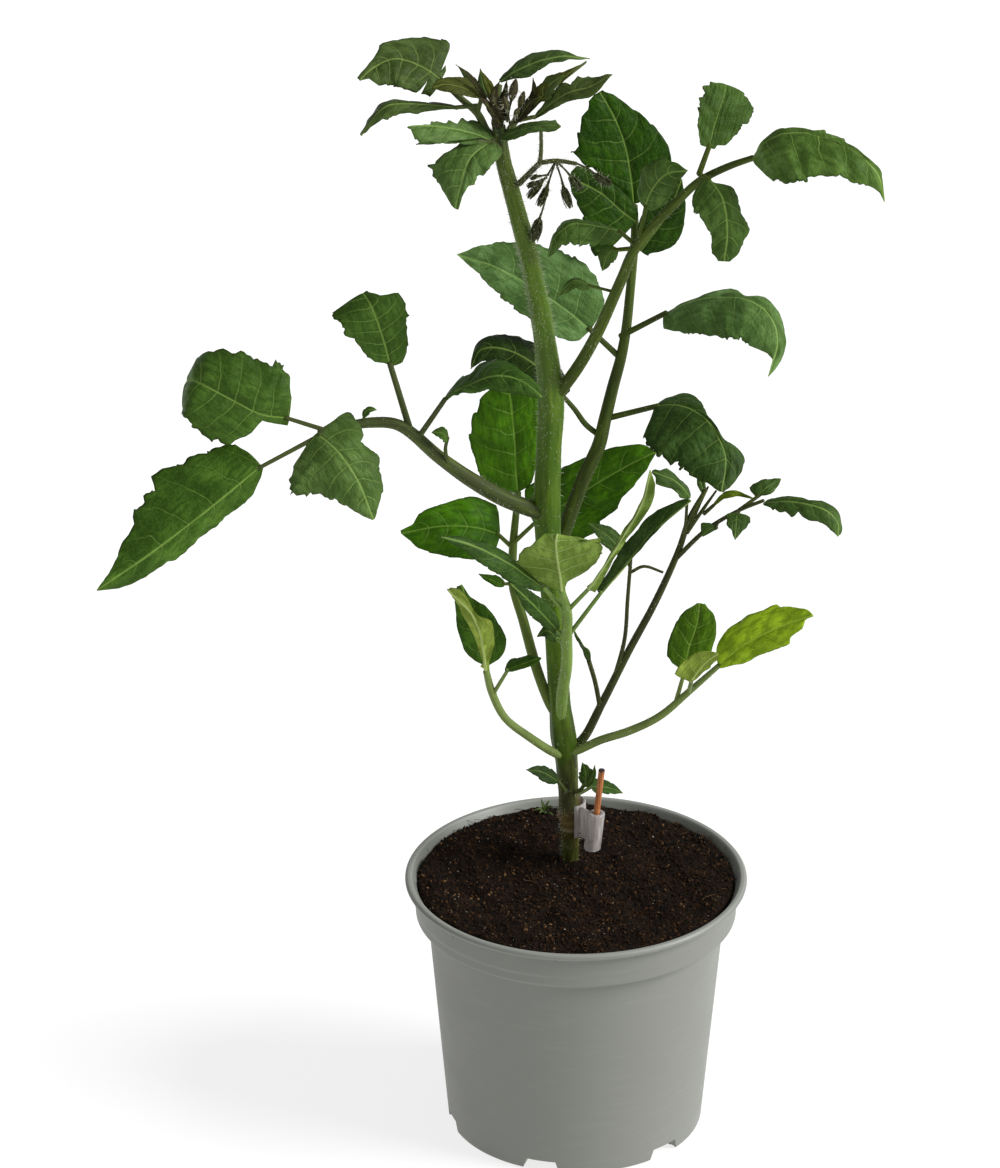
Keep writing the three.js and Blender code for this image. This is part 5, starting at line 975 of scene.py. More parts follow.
        ([[-27, -4, 399], [-29.5, -6.5, 403], [-32, -8, 406]], [1.4, 1.4, 1.2])],
        "leaflets": [
        dict(rib=[[-32, -8, 406], [-40, -18, 403], [-43, -23, 395], [-45, -25, 387]],
             face=[-0.1, -0.7, 0.7], wide=[7, 13], curl=[30, 35], teeth=3, bite=0.05, crimp=1.4,
             outline=[(0, 87, 39), (3, 93, 35), (9, 105, 41), (38, 119, 69), (47, 114, 95),
             (52, 105, 101), (54, 96, 113), (55, 74, 119), (57, 74, 122), (58, 74, 107),
             (59, 74, 124), (60, 74, 104), (61, 73, 103), (62, 73, 88), (63, 72, 86), (64, 71, 102),
             (65, 71, 85), (67, 69, 100), (68, 44, 83), (72, 37, 78), (81, 27, 62), (85, 23, 44),
             (96, 21, 18), (100, 18, 2)]),
        dict(rib=[[-31, -7.5, 406], [-43, -12, 412], [-54, -15, 415], [-62, -18, 416]],
             face=[0, -0.5, 0.85], wide=[5, 5], teeth=3, bite=0.05, outline=[(0, 1, 120),
             (3, 1, 112), (14, 1, 145), (23, 38, 143), (32, 68, 90), (36, 79, 109), (40, 90, 101),
             (43, 98, 55), (46, 105, 49), (49, 113, 85), (53, 122, 86), (56, 134, 49),
             (59, 146, 38), (69, 154, 50), (70, 154, 16), (73, 153, 49), (74, 153, 1),
             (80, 153, 11), (89, 161, 1), (90, 158, 1), (91, 120, 1), (92, 112, 1), (96, 129, 1),
             (97, 29, 1), (100, 13, 1)]),
        dict(start=[-32, -8, 406], rib=[[-36, -10, 407], [-48, -15, 410], [-59, -18, 409]],
             face=[0, -0.5, 0.85], wide=[2.5, 2.5], teeth=2, bite=0.2),
        dict(rib=[[-28.2, -8, 407.6], [-23.5, -10.8, 410.7], [-18.1, -13.5, 413.7],
             [-12.8, -16.2, 415.6], [-7.1, -19, 416.5]], face=[0, -0.4, 0.9], wide=[4, 3.5],
             teeth=3, bite=0.05, outline=[(0, 76, 25), (12, 86, 81), (27, 91, 113), (34, 95, 101),
             (35, 96, 92), (45, 102, 97), (62, 83, 91), (70, 67, 84), (78, 58, 87), (81, 63, 87),
             (85, 87, 85), (95, 25, 66), (100, 1, 13)])]},
    "apex_leaf_right": {"stalk": "#5a6436", "tint": "#5a6c38", "under": "#7f8f5a", "stalks": [
        ([[-27, -5, 406], [-22, -5, 415], [-11, -5, 425], [2, -4, 435]], [1.5, 1.3, 0.9, 0.25])],
        "leaflets": [
        dict(start=[-23, -5, 413], rib=[[-17, -8, 415], [-12.7, -9, 419.6], [-8.1, -10, 423.5],
             [-3.1, -11, 426.6], [2.6, -12, 428.5], [7.2, -13, 431.2], [11.1, -14, 434.5]],
             face=[0, -0.6, 0.8], crimp=1.4, wide=[5, 4], teeth=3, bite=0.05, outline=[(0, 9, 11),
             (9, 34, 40), (15, 41, 53), (27, 61, 67), (35, 85, 69), (43, 104, 82), (47, 105, 87),
             (51, 58, 95), (54, 86, 99), (60, 113, 103), (64, 88, 103), (70, 97, 100), (78, 65, 91),
             (87, 43, 45), (93, 31, 25), (100, 1, 1)]),
        dict(start=[-20, -5, 417], rib=[[-15, -7, 422], [-11, -8, 428], [-6, -9, 432]],
             face=[0, -0.6, 0.8], wide=[4, 4], teeth=2, bite=0.2, stem=0.7)]},
    "apex_leaf_back": {"stalk": "#4f5a33", "tint": "#4a6230", "under": "#7f8f5a", "stalks": [
        ([[-29, -2, 409], [-30, 1, 416], [-29, 4, 423]], [1.4, 1.2, 1])],
        "leaflets": [
        dict(rib=[[-28.9, 4, 424.5], [-25.3, 4.6, 427.3], [-21.7, 5.1, 429], [-16.3, 5.7, 431.1],
             [-10.9, 6.3, 432.5], [-5.1, 6.9, 433], [-0.1, 7.4, 432.2], [3.5, 8, 432]],
             face=[0, -0.5, 0.85], wide=[4, 5], fold=[-8, -5], teeth=3, bite=0.05,
             outline=[(0, 38, 11), (7, 78, 35), (12, 82, 47), (25, 131, 86), (31, 142, 90),
             (37, 158, 76), (41, 169, 74), (49, 161, 58), (55, 145, 40), (60, 135, 39),
             (69, 98, 43), (79, 51, 21), (94, 8, 9), (100, 1, 1)]),
        dict(start=[-30, 1, 414], rib=[[-35, 2, 419], [-40, 4, 426], [-44, 5, 430]],
             face=[0, -0.9, 0.4], wide=[2, 2], teeth=2, bite=0.25, stem=0.7),
        dict(start=[-30, 1, 415], rib=[[-33, 2, 419], [-35, 3, 424], [-36, 3, 430]],
             face=[0, -0.9, 0.4], wide=[2, 2], teeth=1, bite=0.25, stem=0.7)]},
    "basal_leaf_left": {"stalk": "#3c4726", "tint": "#31491f", "under": "#5f7340", "stalks": [
        ([[-3.4, 13, 132], [-4.5, 8.2, 135], [-7, 7, 139]], [0.8, 0.8, 0.8])],
        "leaflets": [
        dict(rib=[[-7, 7, 139], [-13, 5, 144], [-19, 3, 146]], face=[0.1, -0.75, 0.65],
             wide=[3.4, 3.2], teeth=2, bite=0.15)]},
    "basal_leaf_right": {"stalk": "#3c4726", "tint": "#3f5a22", "under": "#5f7340", "stalks": [
        ([[-2, 13, 131], [1.6, 9.5, 134], [3.4, 8, 138]], [0.8, 0.8, 0.7])],
        "leaflets": [
        dict(rib=[[3.4, 8, 137], [3.6, 7.5, 143], [2.2, 7, 147]], face=[0, -0.95, 0.3], wide=[3, 3],
             teeth=2, bite=0.15),
        dict(rib=[[3.2, 8.3, 136], [6, 7.5, 140], [7, 7, 146]], face=[0, -0.95, 0.3],
             wide=[1.5, 1.5], teeth=1, bite=0.15)]},
    "basal_leaf_back": {"stalk": "#3c4726", "tint": "#35571b", "under": "#5f7340", "stalks": [
        ([[-3, 14, 128], [3, 18, 129], [6, 20, 130]], [0.8, 0.7, 0.7])],
        "leaflets": [
        dict(rib=[[5.6, 20, 130], [12, 25, 127], [18, 26, 124]], face=[0, -0.6, 0.8],
             wide=[4.2, 3.6], teeth=2, bite=0.15, foot=0.4)]},
}


def camel(name):
    first, *rest = name.split("_")
    return first + "".join(word.capitalize() for word in rest)


for number, (node, plan) in enumerate(leaves.items()):
    rng = np.random.default_rng(40 + number)
    stalks = [(route, radii, plan["stalk"]) for route, radii in plan["stalks"]]
    blades = []
    for spec in plan["leaflets"]:
        blades.append(leaflet(rng, **{"tint": plan["tint"], "under": plan["under"], **spec}))
        if "start" in spec:
            a, b = np.array(spec["rib"][0], float), np.array(spec["rib"][1], float)
            twig = spec.get("stem", 0.9)
            stalks.append(([spec["start"], (a + unit(b - a) * 1.2).tolist()],
                           [twig, twig * 0.85], plan["stalk"]))
    stalkMesh = grow(camel(node) + "Stalks", stalkLines(node, stalks), tubes, {"Facets": 12})
    fuzz = grow(camel(node) + "Hairs", stalkMesh.copy(), hairs, {
        "Per Square Metre": plan.get("hairs", hairLook["leafCount"]),
        "Length": hairLook["leaf"], "Seed": number})
    leafPiece = joined(camel(node), [joinBlades(camel(node), blades), stalkMesh, fuzz])
    place(leafPiece, "young_leaf" if node.startswith("basal") else "leaf", node)


# main stem, a ridged tube with swollen nodes and a rough graft scar

stem = {
    "route": [[-2, 15, 50], [-2, 15, 101], [-2, 14, 112], [-2.2, 14, 122], [-2.8, 14, 130],
              [-3.5, 14, 143], [-4.8, 13, 154], [-6.5, 12, 171], [-8, 12, 196], [-10.6, 10, 231],
              [-11.4, 8, 251], [-10.8, 6, 278], [-10, 4, 299], [-13, 2, 328], [-18, 0, 356],
              [-24, -2, 381], [-28, -4, 398], [-29.5, -5, 411]],
    "radii": [2.4, 3.2, 3.3, 4.4, 3.8, 4.2, 4.8, 4.0, 4.0, 4.4, 4.9, 4.6, 4.8, 3.9, 3.5, 3.1,
              2.8, 2.4],
    "sides": 44, "step": 0.8, "ridges": 5, "ridgeDepth": 0.055, "twist": 0.006, "scarMiddle": 122,
    "scarReach": 8, "scarDepth": 0.2, "ringAt": 116, "ringShare": 0.6, "ringTint": "#a8987a",
    "hairsFrom": 96, "graftTop": 132, "upperHairsFrom": 250, "greenFrom": 130, "greenOver": 25,
    "fine": 0.03, "mottle": 9,
    "tints": [
        (90, "#2c2d14"), (104, "#393c16"), (112, "#42401a"), (117, "#584a27"), (122, "#6d5a34"),
        (127, "#544629"), (130, "#38391e"), (138, "#33371b"), (144, "#363d1a"), (149, "#39510f"),
        (170, "#3a540c"), (200, "#4a6811"), (228, "#456412"), (255, "#3e5c10"), (300, "#46621c"),
        (345, "#4b6620"), (385, "#45571b"), (400, "#3c481c"), (412, "#353f27")]}


def blend(stops, at):  # colour between named stops, in linear light
    places = [p for p, _ in stops]
    tones = np.array([tone(code) for _, code in stops])
    return np.stack([np.interp(at, places, tones[:, k]) for k in range(4)], -1)


def stemMesh():
    steps = 20
    line = pathOf(stem["route"], steps * (len(stem["route"]) - 1), even=False)
    at = np.linspace(0, len(stem["radii"]) - 1, len(line))
    low = np.minimum(at.astype(int), len(stem["radii"]) - 2)
    soft = (at - low) ** 2 * (3 - 2 * (at - low))
    radii = np.array(stem["radii"])
    thick = radii[low] * (1 - soft) + radii[low + 1] * soft
    far = np.concatenate([[0], np.cumsum(np.linalg.norm(np.diff(line, axis=0), axis=1))])
    want = np.linspace(0, far[-1], int(far[-1] / stem["step"]))
    spine = np.stack([np.interp(want, far, line[:, k]) for k in range(3)], 1)
    thick = np.interp(want, far, thick)
    tangents, across = carried(spine, (0.3, -0.95, 0.1))
    side = np.cross(tangents, across)
    turn = np.arange(stem["sides"]) / stem["sides"] * 2 * math.pi
    places, ring = [], []
    for i, centre in enumerate(spine):
        green = np.clip((centre[2] - stem["greenFrom"]) / stem["greenOver"], 0.25, 1)
        scar = np.clip(1 - abs(centre[2] - stem["scarMiddle"]) / stem["scarReach"], 0, 1) ** 0.5
        twist = centre[2] * stem["twist"]
        for angle in turn:
            out = across[i] * math.cos(angle) + side[i] * math.sin(angle)
            spot = centre + out * thick[i]
            rough = noise.fractal(Vector(spot * 0.42), 0.7, 2.0, 3)
            fine = noise.noise(Vector((spot * np.array([0.9, 0.9, 0.12]))))
            swell = (1 + stem["ridgeDepth"] * green * math.cos(stem["ridges"] * (angle + twist))
                     + stem["fine"] * fine + scar * stem["scarDepth"] * rough)
            places.append(centre + out * thick[i] * swell)
            ring.append((math.cos(angle), math.sin(angle), 0))
    places = np.array(places)
    mesh = meshOf("mainStem", places, hoopFaces(len(spine), stem["sides"]))
    mottle = np.array([noise.noise(Vector(p * 0.12)) * stem["mottle"] for p in places])
    tints = blend(stem["tints"], places[:, 2] + mottle)
    x, z = places[:, 0], places[:, 2]
    share = stem["ringShare"] * np.exp(-((z - stem["ringAt"]) / 0.5) ** 2)[:, None]
    tints = tints * (1 - share) + np.array(tone(stem["ringTint"])) * share  # pale line of old bark
    # hairs stand on the left below the graft, and grow denser towards the top
    lower = np.clip((stem["graftTop"] - z) / 8, 0, 1) * (0.35 + np.clip(-(x + 4) * 0.5, 0, 1))
    upper = 0.2 + np.clip((z - stem["upperHairsFrom"]) / 90, 0, 0.95)
    fuzz = np.where(z > stem["hairsFrom"], np.maximum(lower, upper * (z > stem["graftTop"])), 0)
    store(mesh, "tint", "FLOAT_COLOR", tints)
    store(mesh, "ring", "FLOAT_VECTOR", ring)
    store(mesh, "along", "FLOAT", np.repeat(want * mm, stem["sides"]))
    store(mesh, "hairs", "FLOAT", fuzz)
    mesh.materials.append(stalkSkin)
    return mesh


stemBase = stemMesh()
stemHairs = grow("stemHairs", stemBase.copy(), hairs, {
    "Per Square Metre": hairLook["stemCount"], "Length": hairLook["stem"]})
stemPiece = joined("mainStem", [stemBase, stemHairs])
place(stemPiece, "stem", "main_stem")
print("stage: stem", len(stemPiece.data.polygons))


# shoot tip and flower truss: folded young leaves and hairy buds

tip = {
    "core": ([[-30, -5.2, 411.8], [-29.5, -5.4, 414], [-28.5, -5.6, 418]], [2.2, 2.4, 1.4]),
    "buds": [([[-28.2, -8, 413.8], [-30, -8.5, 419.4], [-31.8, -9, 424.6]], 1.2),
             ([[-26.4, -7, 413.4], [-25, -7.5, 421.3], [-23.2, -8, 430]], 1.7),
             ([[-25.3, -9, 413.4], [-26.4, -9.5, 419], [-27.5, -10, 424.3]], 1.5),
             ([[-24.6, -8, 413.4], [-22.1, -8.5, 419.4], [-20.3, -9, 425.8]], 1.3),
             ([[-23.9, -7, 412.6], [-20.3, -7.5, 417.9], [-17.8, -8, 422.7]], 1.3),
             ([[-25.3, -10, 413.1], [-23.5, -10.5, 417.1], [-22.1, -11, 420.4]], 1.1)],
    "blades": [
        dict(rib=[[-33.2, -6, 419.2], [-36.8, -6.7, 426.4], [-40.4, -7.3, 431.7],
             [-44.7, -8, 435.8]], face=[0.3, -0.7, 0.5], wide=[1.3, 1.2], fold=[25, 25], teeth=3,
             bite=0.12, tint="#3f3b22", under="#332820"),
        dict(rib=[[-29.6, -6, 418.4], [-32.1, -6.8, 424.5], [-34.3, -7.7, 430.3],
             [-36.1, -8.5, 434]], face=[0.2, -0.8, 0.4], wide=[1.6, 2.2], fold=[20, 30], teeth=3,
             bite=0.14, tint="#565a1e", under="#372a22"),
        dict(rib=[[-27.8, -8, 413.8], [-30, -8.5, 420.2], [-31.1, -9, 425], [-28.9, -9.5, 430.2]],
             face=[0.2, -0.9, 0.3], wide=[2.6, 2], fold=[30, 30], teeth=3, bite=0.12,
             tint="#3a2e20", under="#2f241d"),
        dict(rib=[[-27.1, -6, 413.4], [-27.8, -6.3, 419.3], [-27.1, -6.7, 424.5],
             [-26.4, -7, 429.6]], face=[0, -0.9, 0.3], wide=[2, 1.8], fold=[30, 30], teeth=3,
             bite=0.12, tint="#3b331f", under="#2f241d"),
        dict(rib=[[-21.7, -7, 414.6], [-18.5, -7.3, 419.7], [-16.3, -7.7, 425.2],
             [-17.1, -8, 430.8]], face=[-0.2, -0.9, 0.4], wide=[2.2, 1.6], fold=[25, 35], teeth=3,
             bite=0.14, tint="#41361f", under="#33271e"),
        dict(rib=[[-22.1, -8, 413.8], [-17.1, -8.2, 419.7], [-11.7, -8.4, 425.5],
             [-6.7, -8.6, 430.2], [-2.1, -8.8, 434.5], [1.9, -9, 437.7]], face=[-0.3, -0.7, 0.6],
             wide=[4.2, 1.4], fold=[20, 30], teeth=5, bite=0.16, peak=0.45, foot=0.8, sharp=1.7,
             tint="#55561f", under="#3b2f23"),
        dict(rib=[[-28.9, -9, 413.4], [-31.8, -9.7, 418.3], [-34.3, -10.3, 422.1],
             [-37.5, -11, 424.7]], face=[0.3, -0.7, 0.6], wide=[1.7, 1.9], fold=[25, 25], teeth=2,
             bite=0.1, tint="#3d3323", under="#332820"),
        dict(rib=[[-23.2, -9, 413.8], [-20.3, -9.5, 418.3], [-18.1, -10, 421.9],
             [-14.6, -10.5, 424.5]], face=[-0.3, -0.8, 0.5], wide=[1.9, 1.9], fold=[25, 25],
             teeth=2, bite=0.1, tint="#3a3120", under="#332820")],
    "bark": "#38302a", "bud": "#3a3326", "hairs": 1e6}

truss = {
    "stalks": [([[-22, -4, 388.1], [-18.1, -6.5, 393.4], [-14.5, -9, 398.3]], [1.15, 1.05, 1]),
               ([[-14.5, -9, 398.3], [-14.1, -8.5, 403.2], [-14.2, -9.5, 411.7]],
                [0.85, 0.75, 0.65]),
               ([[-14.5, -9, 398.3], [-8.4, -10, 399.5], [-1.5, -11, 398.8]], [0.95, 0.85, 0.75])],
    "buds": [
        ([[-9.1, -10, 398.7], [-12.3, -10.7, 393.6], [-15.9, -11.3, 389.2],
          [-18.8, -12, 385.9]], 1.2),
        ([[-9.1, -10, 398.7], [-11.2, -10.8, 392.1], [-13, -11.7, 387], [-15.2, -12.5, 383]], 1.2),
        ([[-8.7, -10, 398.7], [-6.9, -10.7, 393.2], [-5.8, -11.3, 388.8], [-3.6, -12, 382]], 1.35),
        ([[-8, -11, 399.1], [-5.1, -11.7, 396.3], [-2.6, -12.3, 393.1], [0.3, -13, 389.5]], 1.3),
        ([[-12, -11.5, 393.5], [-14.8, -11.7, 392.4], [-17, -11.8, 391.3],
          [-19.2, -12, 390.2]], 0.8),
        ([[-11.3, -12, 394.9], [-13.8, -12.2, 394.6], [-15.9, -12.3, 394.3],
          [-18.1, -12.5, 393.5]], 0.7),
        ([[-1.9, -11, 399.1], [2.8, -11.1, 396.9], [6.4, -11.3, 393.8],
          [11.1, -11.4, 390.8]], 1.35),
        ([[-12.3, -9, 385.1], [-13.3, -7.2, 380], [-14.8, -5.4, 374.2],
          [-16.6, -3.6, 365.6]], 1.7)],
    "bark": "#3e422a", "bud": "#2d2e1e", "hairs": 1.8e6}


def budLine(route, radius):  # a thin stalk that swells into a pointed bud
    line = pathOf(route, 15)
    return line.tolist(), [0.42, 0.4, 0.38, 0.36, 0.36, 0.38, 0.45, 0.5, 0.66 * radius,
                           0.88 * radius, radius, 0.98 * radius, 0.84 * radius,
                           0.6 * radius, 0.3 * radius]


def sepals(route, radius, tint, count=5):  # narrow leafy points around a bud, closed strips
    line = pathOf(route, 15)
    tangents, across = carried(line, (0.2, -0.9, 0.2))
    parts = []
    for k in range(count):
        turn = 2 * math.pi * k / count + 0.4
        centres, sides = [], []
        for i in range(8, 15):
            out = across[i] * math.cos(turn) + np.cross(tangents[i], across[i]) * math.sin(turn)
            share = (i - 8) / 6
            hug = radius * (0.55 + 0.55 * math.sin(math.pi * min(share * 0.75 + 0.12, 1)))
            centres.append(line[i] + out * (hug + 0.12))
            sides.append(unit(np.cross(tangents[i], out)) * 0.62 * radius
                         * math.sin(math.pi * (0.16 + 0.8 * share)) ** 0.9)
        c, s = np.array(centres), np.array(sides)
        out = unit(c - line[8:15])
        rows = np.stack([c - s - out * 0.12, c + out * 0.12, c + s - out * 0.12, c - out * 0.16], 1)
        ids = np.arange(28).reshape(7, 4)
        after = np.roll(ids, -1, axis=1)
        faces = np.stack([ids[:-1], ids[1:], after[1:], after[:-1]], -1).reshape(-1, 4)
        caps = np.stack([ids[0], ids[-1, ::-1]])
        flat = np.zeros((28, 2))
        parts.append({"places": rows.reshape(-1, 3), "faces": np.concatenate([faces, caps]),
                      "skins": np.zeros(26, int), "tints": np.tile(np.array(tone(tint)), (28, 1)),
                      "veins": flat + 0.5, "blade": flat + 0.3, "share": np.full(28, 0.5)})
    return parts


def budPiece(name, plan, stalks, blades, slot, node):
    lines = [(route, radii, plan["bark"]) for route, radii in stalks]
    lines += [(*budLine(route, radius), plan["bud"]) for route, radius in plan["buds"]]
    stalkMesh = grow(name + "Stalks", stalkLines(name, lines), tubes, {"Facets": 12})
    bladeMesh = joinBlades(name, blades)
    fuzz = grow(name + "Hairs", stalkMesh.copy(), hairs, {
        "Per Square Metre": plan["hairs"], "Length": hairLook["bud"],
        "Root Radius": hairLook["budRoot"], "Seed": 9})
    piece = joined(name, [bladeMesh, stalkMesh, fuzz])
    place(piece, slot, node)


rng = np.random.default_rng(71)
tipBlades = [leaflet(rng, **spec) for spec in tip["blades"]]
budPiece("shootTip", tip, [tip["core"]], tipBlades, "young_leaf", "shoot_tip")
trussBlades = [part for route, radius in truss["buds"] for part in sepals(route, radius, "#3b3f22")]
budPiece("flowerTruss", truss, truss["stalks"], trussBlades, "young_leaf", "flower_truss")
print("stage: shoot tip and truss")


# support stick

stick = {"foot": (6.2, 4, 112.2), "top": (9.6, 4, 145.6), "radius": 1.2, "sides": 20, "burnt": 1.1}

# birch splint, dipped in orange-brown stain: dull, long grain, a scorched cut end
stickWood, tree, shader = newMaterial("stainedBirchSplint")
spot = ownSpot(tree)
lean = math.atan2(stick["top"][0] - stick["foot"][0], stick["top"][2] - stick["foot"][2])
upright = addNode(tree, "ShaderNodeMapping", {0: spot, "Rotation": (0, lean, 0),
                                              "Scale": (1, 1, 0.07)}).outputs[0]
grain = noiseAt(tree, upright, 0.5, 3).outputs[0]
speck = noiseAt(tree, spot, 1.1, 2).outputs[0]
colour = ramp(tree, grain, [(0.3, tone("#8a4a20")), (0.55, tone("#b5703a")),
                            (0.75, tone("#c98650"))])
colour = mixColour(tree, fade(tree, speck, 0.62, 0.72, 0, 0.7), colour, tone("#5c2f16"))
end = (stick["top"][2] - stick["burnt"]) * mm
burnt = fade(tree, partsOf(tree, spot)[2], end, end + 0.0008)
wire(tree, shader, {"Base Color": mixColour(tree, burnt, colour, tone("#2c1a14")),
                    "Roughness": 0.62, "Normal": bump(tree, grain, 0.6, 0.2)})


def stickMesh():
    foot, top = np.array(stick["foot"], float), np.array(stick["top"], float)
    axis = unit(top - foot)
    wide = unit(np.cross(axis, (0, 1, 0)))
    deep = np.cross(axis, wide)
    length = np.linalg.norm(top - foot)
    rows = [(0, 0.0), (0, 0.9), (0.2, 1.0)] + [(s, 1.0) for s in np.arange(1, length - 0.3, 1.5)]
    rows += [(length - 0.25, 1.0), (length, 0.9), (length, 0.55), (length - 0.5, 0.42),
             (length - 0.5, 0.0)]
    places, m = [], stick["sides"]
    for far, share in rows:
        for k in range(m):
            turn = 2 * math.pi * k / m
            out = wide * math.cos(turn) + deep * math.sin(turn)
            spot = foot + axis * far + out * stick["radius"] * share
            wear = noise.noise(Vector(spot * np.array([0.8, 0.8, 0.2]))) * 0.07 * share
            places.append(spot + out * wear)
    mesh = meshOf("supportStick", places, hoopFaces(len(rows), m, capped=False))
    mesh.materials.append(stickWood)
    return mesh


def tidied(piece):  # closes poles and turns every face outwards
    work = bmesh.new()
    work.from_mesh(piece.data)
    bmesh.ops.remove_doubles(work, verts=work.verts, dist=2e-6)
    bmesh.ops.dissolve_degenerate(work, edges=work.edges, dist=1e-7)
    bmesh.ops.recalc_face_normals(work, faces=work.faces)
    work.to_mesh(piece.data)
    work.free()


stickPiece = addObject("supportStick", stickMesh())
tidied(stickPiece)
place(stickPiece, "stick", "support_stick")


# graft clip: a split sleeve, a web and a socket, swept as rounded walls and made one

clip = {"low": 111.7, "high": 127.2, "drop": 2, "wall": 0.9, "sleeve": 5, "middle": (-2.1, 14),
        "arc": (-1.3, 2.1), "inner": 1.5, "outer": 3.2, "web": (3.2, 8), "webLength": 6,
        "webTurn": -0.8, "round": 0.3}


def barSection(half, low, high, soft, steps=3):  # rounded upright rectangle, (across, height)
    corners = [(half, low, -90), (half, high, 0), (-half, high, 90), (-half, low, 180)]
    points = []
    for across, level, start in corners:
        cx = across - math.copysign(soft, across)
        cz = level + soft if level == low else level - soft
        for k in range(steps + 1):
            turn = math.radians(start + 90 * k / steps)
            points.append((cx + soft * math.cos(turn), cz + soft * math.sin(turn)))
    return points


def sweptWall(path, outward, section, closed):  # path and outward are plan directions
    m, n = len(section), len(path)
    places = [(x + ox * a, y + oy * a, z)
              for (x, y), (ox, oy) in zip(path, outward) for a, z in section]
    faces = []
    for i in range(n if closed else n - 1):
        for j in range(m):
            a, b = i * m + j, i * m + (j + 1) % m
            c, d = ((i + 1) % n) * m + (j + 1) % m, ((i + 1) % n) * m + j
            faces.append((a, b, c, d))
    if not closed:
        faces += [tuple(range(m))[::-1], tuple(range((n - 1) * m, n * m))]
    return np.array(places, float), faces


def clipWalls():
    cx, cy = clip["middle"]
    middle, low = clip["sleeve"] + clip["wall"] / 2, clip["low"] + clip["drop"]
    outward = [(math.cos(t), math.sin(t)) for t in np.linspace(*clip["arc"], 22)]
    sleeve = sweptWall([(cx + middle * x, cy + middle * y) for x, y in outward], outward,
                       barSection(clip["wall"] / 2, low, clip["high"], clip["round"]), False)
    slope = (stick["top"][0] - stick["foot"][0]) / (stick["top"][2] - stick["foot"][2])
    outward = [(math.cos(t), math.sin(t)) for t in np.arange(36) / 36 * 2 * math.pi]
    half, ring = (clip["outer"] - clip["inner"]) / 2, (clip["outer"] + clip["inner"]) / 2
    socket = sweptWall([(ring * x, stick["foot"][1] + ring * y) for x, y in outward], outward,
                       barSection(half, clip["low"], clip["high"], clip["round"] * 1.6), True)
    socket[0][:, 0] += stick["foot"][0] + (socket[0][:, 2] - stick["foot"][2]) * slope
    along = (math.cos(clip["webTurn"]), math.sin(clip["webTurn"]))
    spots = [(clip["web"][0] + along[0] * s, clip["web"][1] + along[1] * s)
             for s in np.linspace(-0.5, 0.5, 6) * clip["webLength"]]
    web = sweptWall(spots, [(-along[1], along[0])] * 6,
                    barSection(clip["wall"] / 2, low + 0.3, clip["high"] - 0.4, clip["round"]),
                    False)
    return [sleeve, socket, web]


def uniteTree(material):
    tree, given = newTree("unitedWalls", [("Smallest Gap", "Float", 1e-6)])
    welded = addNode(tree, "GeometryNodeMergeByDistance", {
        0: given["Geometry"], "Distance": given["Smallest Gap"]})
    parts = addNode(tree, "GeometryNodeMeshBoolean", {
        1: welded.outputs[0], "Self Intersection": True}, operation="UNION", solver="EXACT")
    endTree(tree, parts.outputs[0], material)
    return tree


# clear silicone, moulded and weathered: milky, soft gloss, fine upright scratches
clipSilicone, tree, shader = newMaterial("milkySiliconeRubber")
spot = ownSpot(tree)
upright = addNode(tree, "ShaderNodeMapping", {0: spot, "Scale": (1, 1, 0.12)}).outputs[0]
scratch = noiseAt(tree, upright, 0.9, 3).outputs[0]
milk = noiseAt(tree, spot, 4, 2).outputs[0]
wire(tree, shader, {
    "Base Color": ramp(tree, scratch, [(0.3, tone("#b3a9a3")), (0.7, tone("#f0ece8"))]),
    "IOR": 1.41, "Transmission Weight": 0.55, "Roughness": fade(tree, milk, 0.3, 0.7, 0.24, 0.5),
    "Normal": bump(tree, scratch, 0.5, 0.25)})


def clipMesh():
    places, faces, first = [], [], 0
    for spots, quads in clipWalls():
        places += spots.tolist()
        faces += [tuple(i + first for i in quad) for quad in quads]
        first += len(spots)
    return meshOf("graftClip", places, faces)


clipMade = grow("graftClip", clipMesh(), uniteTree(clipSilicone), {"Smallest Gap": 1e-6})
clipPiece = addObject("graftClip", clipMade)
tidied(clipPiece)
place(clipPiece, "clip", "graft_clip")
print("stage: stick and clip", len(clipMade.polygons))


# the little seedling behind the stem

sprout = {
    "root": ([[-11, 50, 95], [-11.5, 50, 104]], [0.6, 0.45]), "stalk": "#5d6a4c",
    "leaves": [([[-11.5, 50, 103], [-13.5, 49.5, 105], [-15.6, 49, 104.6]], 0.9),
               ([[-11.5, 50, 104], [-12.4, 50.5, 106.6], [-13, 51, 108.6]], 0.8),
               ([[-11.5, 50, 103.6], [-10, 49.5, 105.8], [-8.4, 49, 106.4]], 0.9),
               ([[-11.5, 50, 102.6], [-9.6, 48.6, 103.8], [-8.4, 47.6, 103.2]], 0.8),
               ([[-11.5, 50, 103], [-12.6, 48.4, 104.6], [-13.6, 47, 104.4]], 0.8),
               ([[-11.5, 50, 104], [-10.8, 50.8, 106.2], [-9.8, 51.4, 107.6]], 0.7)]}
rng = np.random.default_rng(81)
blades = [leaflet(rng, rib=rib, face=[0, -0.5, 0.85], wide=[wide * 0.75] * 2, teeth=1, bite=0.08,
                  tint="#4a5a33", under="#68765a", fold=(15, 15)) for rib, wide in sprout["leaves"]]
stalkMesh = grow("soilSproutStalk", stalkLines("soilSprout", [(*sprout["root"], sprout["stalk"])]),
                 tubes, {"Facets": 8})
sproutPiece = joined("soilSprout", [joinBlades("soilSprout", blades), stalkMesh])
place(sproutPiece, "young_leaf", "soil_sprout")


# soil: a lumpy plug with crumbs, fibres and pale grit scattered by a tree

